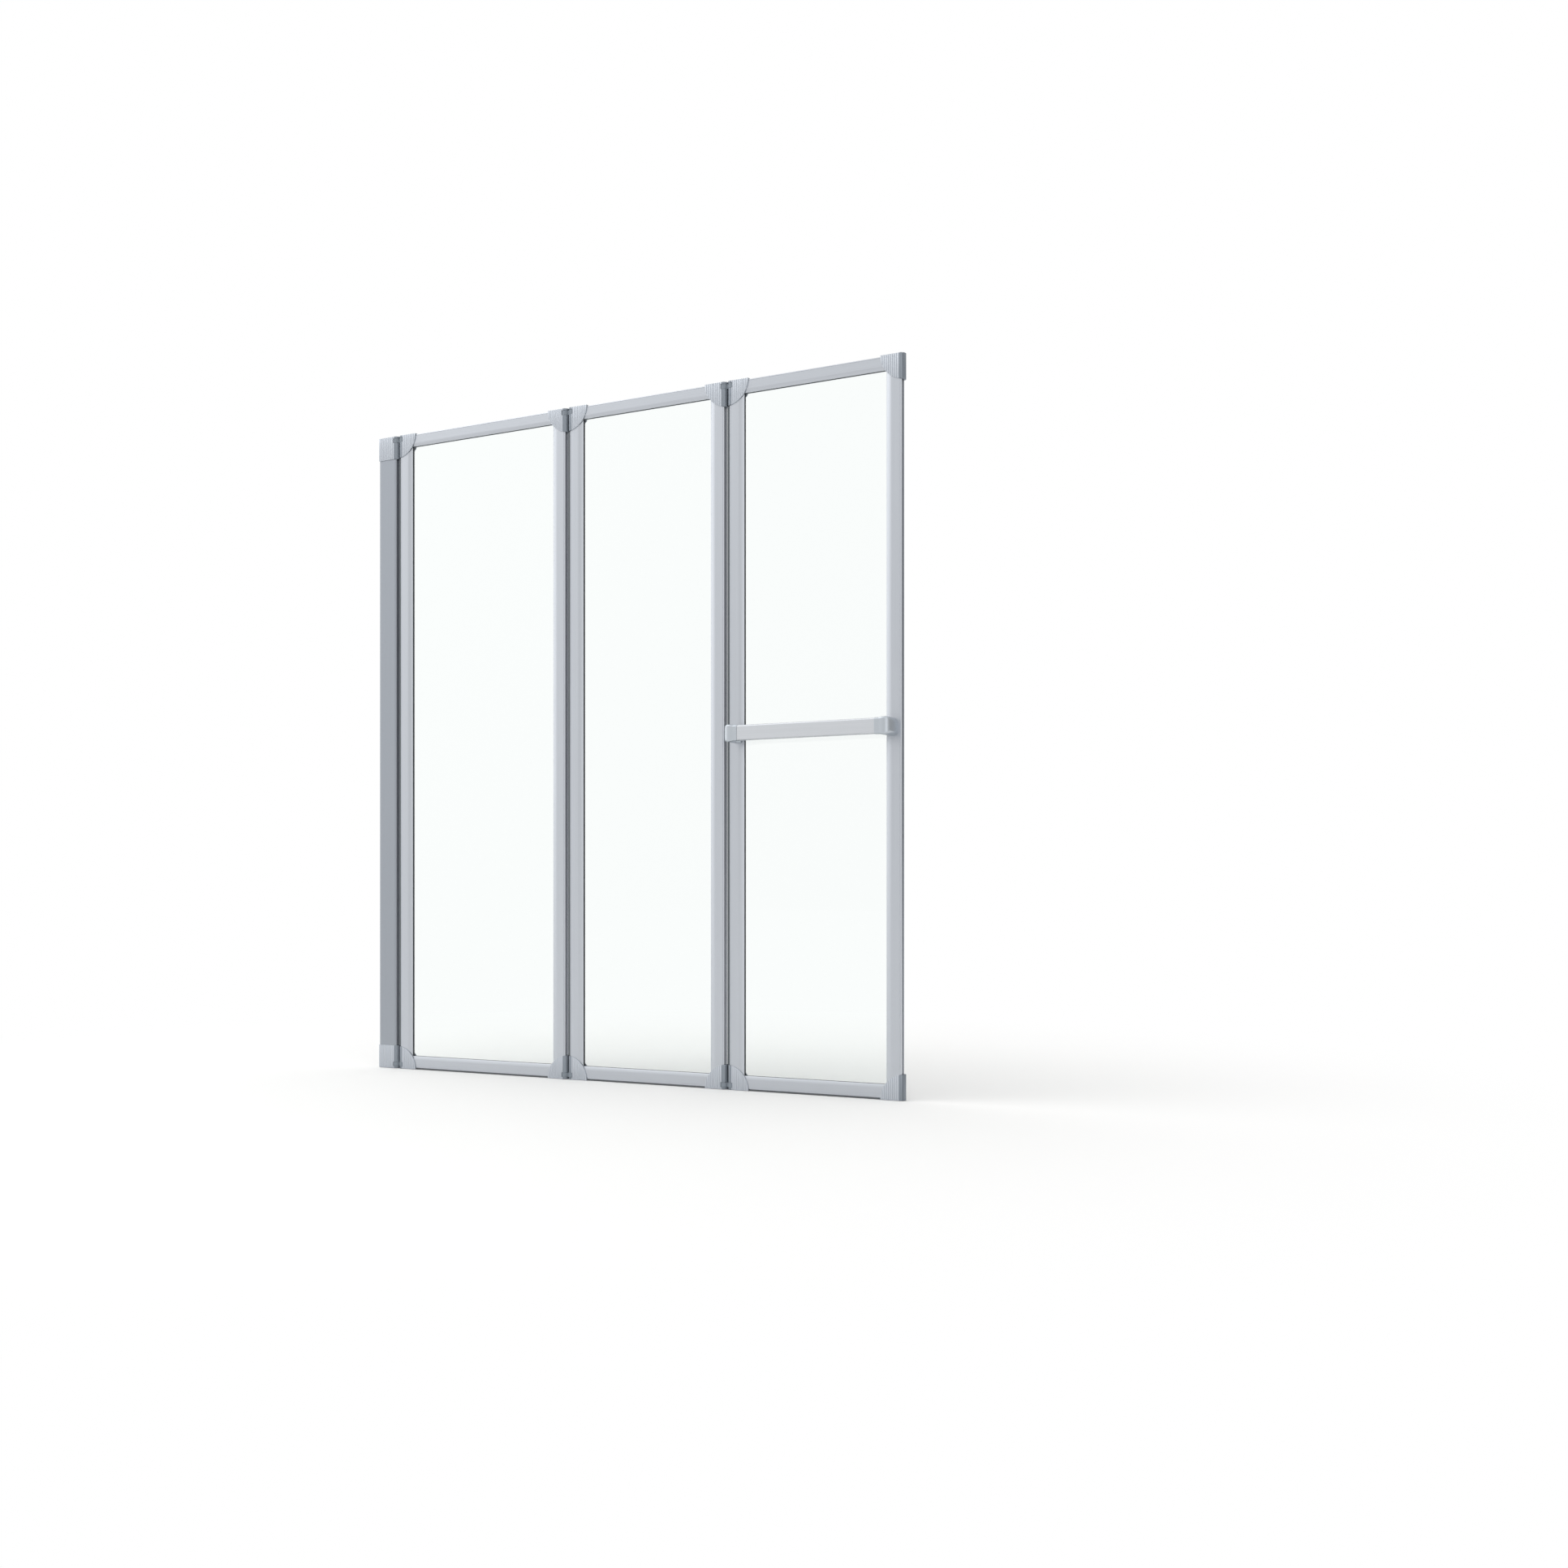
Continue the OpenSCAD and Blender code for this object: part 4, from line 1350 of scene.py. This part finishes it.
class BATHSCREEN_OT_stage(bpy.types.Operator):
    """Makes the camera, the floor, the lamp and the studio's light"""

    bl_idname = "bathscreen.stage"
    bl_label = "Stage"

    def execute(self, context):
        scene = context.scene
        # low and to the right of the screen, as in the photograph
        camera = bpy.data.objects.new("Camera", bpy.data.cameras.new("Camera"))
        camera.location = (2.4660, -2.7948, 0.3925)
        camera.rotation_euler = (math.radians(90), 0, math.radians(27.47))
        camera.data.lens = 37.17
        camera.data.sensor_width = 36
        camera.data.shift_y = 0.0682
        camera.data.clip_end = 100
        scene.collection.objects.link(camera)
        scene.camera = camera
        self.floor(scene)
        lamp("Key", (-2.0, -1.6, 4.2), (0.6, 0, 0.7), 2.4, 25)
        self.world(scene)
        scene.view_settings.view_transform = "Standard"
        return {"FINISHED"}

    def floor(self, scene):
        """A pale matt floor that fades to the white of the studio."""
        bm = bmesh.new()
        bmesh.ops.create_circle(
            bm, cap_ends=True, segments=64, radius=30, matrix=Matrix.Translation((0.6, 0, -0.0006))
        )
        mesh = bpy.data.meshes.new("Floor")
        bm.to_mesh(mesh)
        bm.free()
        floor = bpy.data.objects.new("Floor", mesh)
        scene.collection.objects.link(floor)
        material, tree = new_material("Matt pale floor")
        place = add_node(tree, "TexCoord").outputs["Object"]
        away = add_node(
            tree, "VectorMath", {0: place, 1: (0.6, 0, 0)}, operation="DISTANCE"
        ).outputs["Value"]
        fade = add_node(
            tree,
            "MapRange",
            {"Value": away, "From Min": 0.7, "From Max": 2.0},
            interpolation_type="SMOOTHSTEP",
        ).outputs[0]
        tone = scene.bath_screen_colours.floor
        matt = add_node(
            tree, "BsdfPrincipled", {"Base Color": [*tone, 1], "Roughness": 0.8}
        ).outputs[0]
        white = add_node(tree, "Emission", {"Color": (1, 1, 1, 1), "Strength": 1.0}).outputs[0]
        seen = seen_share(tree, 1.0)
        share = add_node(tree, "Math", {0: seen, 1: fade}, operation="MULTIPLY").outputs[0]
        mixed = add_node(tree, "MixShader", {0: share, 1: matt, 2: white}).outputs[0]
        add_node(tree, "OutputMaterial", {"Surface": mixed})
        mesh.materials.append(material)

    def world(self, scene):
        """White behind the screen, and soft light, stronger from the left, the front and above."""
        world = bpy.data.worlds.new("Studio")
        world.use_nodes = True
        tree = world.node_tree
        tree.nodes.clear()
        way = add_node(tree, "TexCoord").outputs["Generated"]
        strength = SOFT_BASE
        for towards, tightness, more in SOFT_LIGHTS:
            facing = add_node(
                tree, "VectorMath", {0: way, 1: towards}, operation="DOT_PRODUCT"
            ).outputs["Value"]
            lit = add_node(tree, "Math", {0: facing, 1: 0.0}, operation="MAXIMUM").outputs[0]
            shaped = add_node(tree, "Math", {0: lit, 1: tightness}, operation="POWER").outputs[0]
            strength = add_node(
                tree, "Math", {0: shaped, 1: more, 2: strength}, operation="MULTIPLY_ADD"
            ).outputs[0]
        soft = add_node(
            tree, "Background", {"Color": (1, 1, 1, 1), "Strength": strength}
        ).outputs[0]
        white = add_node(tree, "Background", {"Color": (1, 1, 1, 1), "Strength": 1.0}).outputs[0]
        seen = seen_share(tree, MIRRORED_WHITE)
        mixed = add_node(tree, "MixShader", {0: seen, 1: soft, 2: white}).outputs[0]
        add_node(tree, "OutputWorld", {"Surface": mixed})
        scene.world = world


class BATHSCREEN_PT_panel(bpy.types.Panel):
    """Lists the screen's pieces, sizes and colours"""

    bl_idname = "BATHSCREEN_PT_panel"
    bl_label = "Bath screen"
    bl_space_type = "VIEW_3D"
    bl_region_type = "UI"
    bl_category = "Bath screen"

    def draw(self, context):
        column = self.layout.column()
        for operator in OPERATORS:
            column.operator(operator.bl_idname)
        for group in (context.scene.bath_screen_sizes, context.scene.bath_screen_colours):
            box = self.layout.box()
            for name in group.__annotations__:
                box.prop(group, name)


OPERATORS = (
    BATHSCREEN_OT_stage,
    BATHSCREEN_OT_frames,
    BATHSCREEN_OT_caps,
    BATHSCREEN_OT_links,
    BATHSCREEN_OT_glazing,
    BATHSCREEN_OT_seals,
    BATHSCREEN_OT_towel_rail,
    BATHSCREEN_OT_screws,
    BATHSCREEN_OT_kept,
)
CLASSES = (BathScreenSizes, BathScreenColours, *OPERATORS, BATHSCREEN_PT_panel)


def register():
    for cls in CLASSES:
        bpy.utils.register_class(cls)
    bpy.types.Scene.bath_screen_sizes = bpy.props.PointerProperty(type=BathScreenSizes)
    bpy.types.Scene.bath_screen_colours = bpy.props.PointerProperty(type=BathScreenColours)


def unregister():
    del bpy.types.Scene.bath_screen_colours
    del bpy.types.Scene.bath_screen_sizes
    for cls in reversed(CLASSES):
        bpy.utils.unregister_class(cls)


def main():
    """Builds everything."""
    register()
    bpy.ops.bathscreen.stage()
    bpy.ops.bathscreen.frames()
    bpy.ops.bathscreen.caps()
    bpy.ops.bathscreen.links()
    bpy.ops.bathscreen.glazing()
    bpy.ops.bathscreen.seals()
    bpy.ops.bathscreen.towel_rail()
    bpy.ops.bathscreen.screws()
    bpy.ops.bathscreen.kept()


if __name__ == "__main__":
    main()
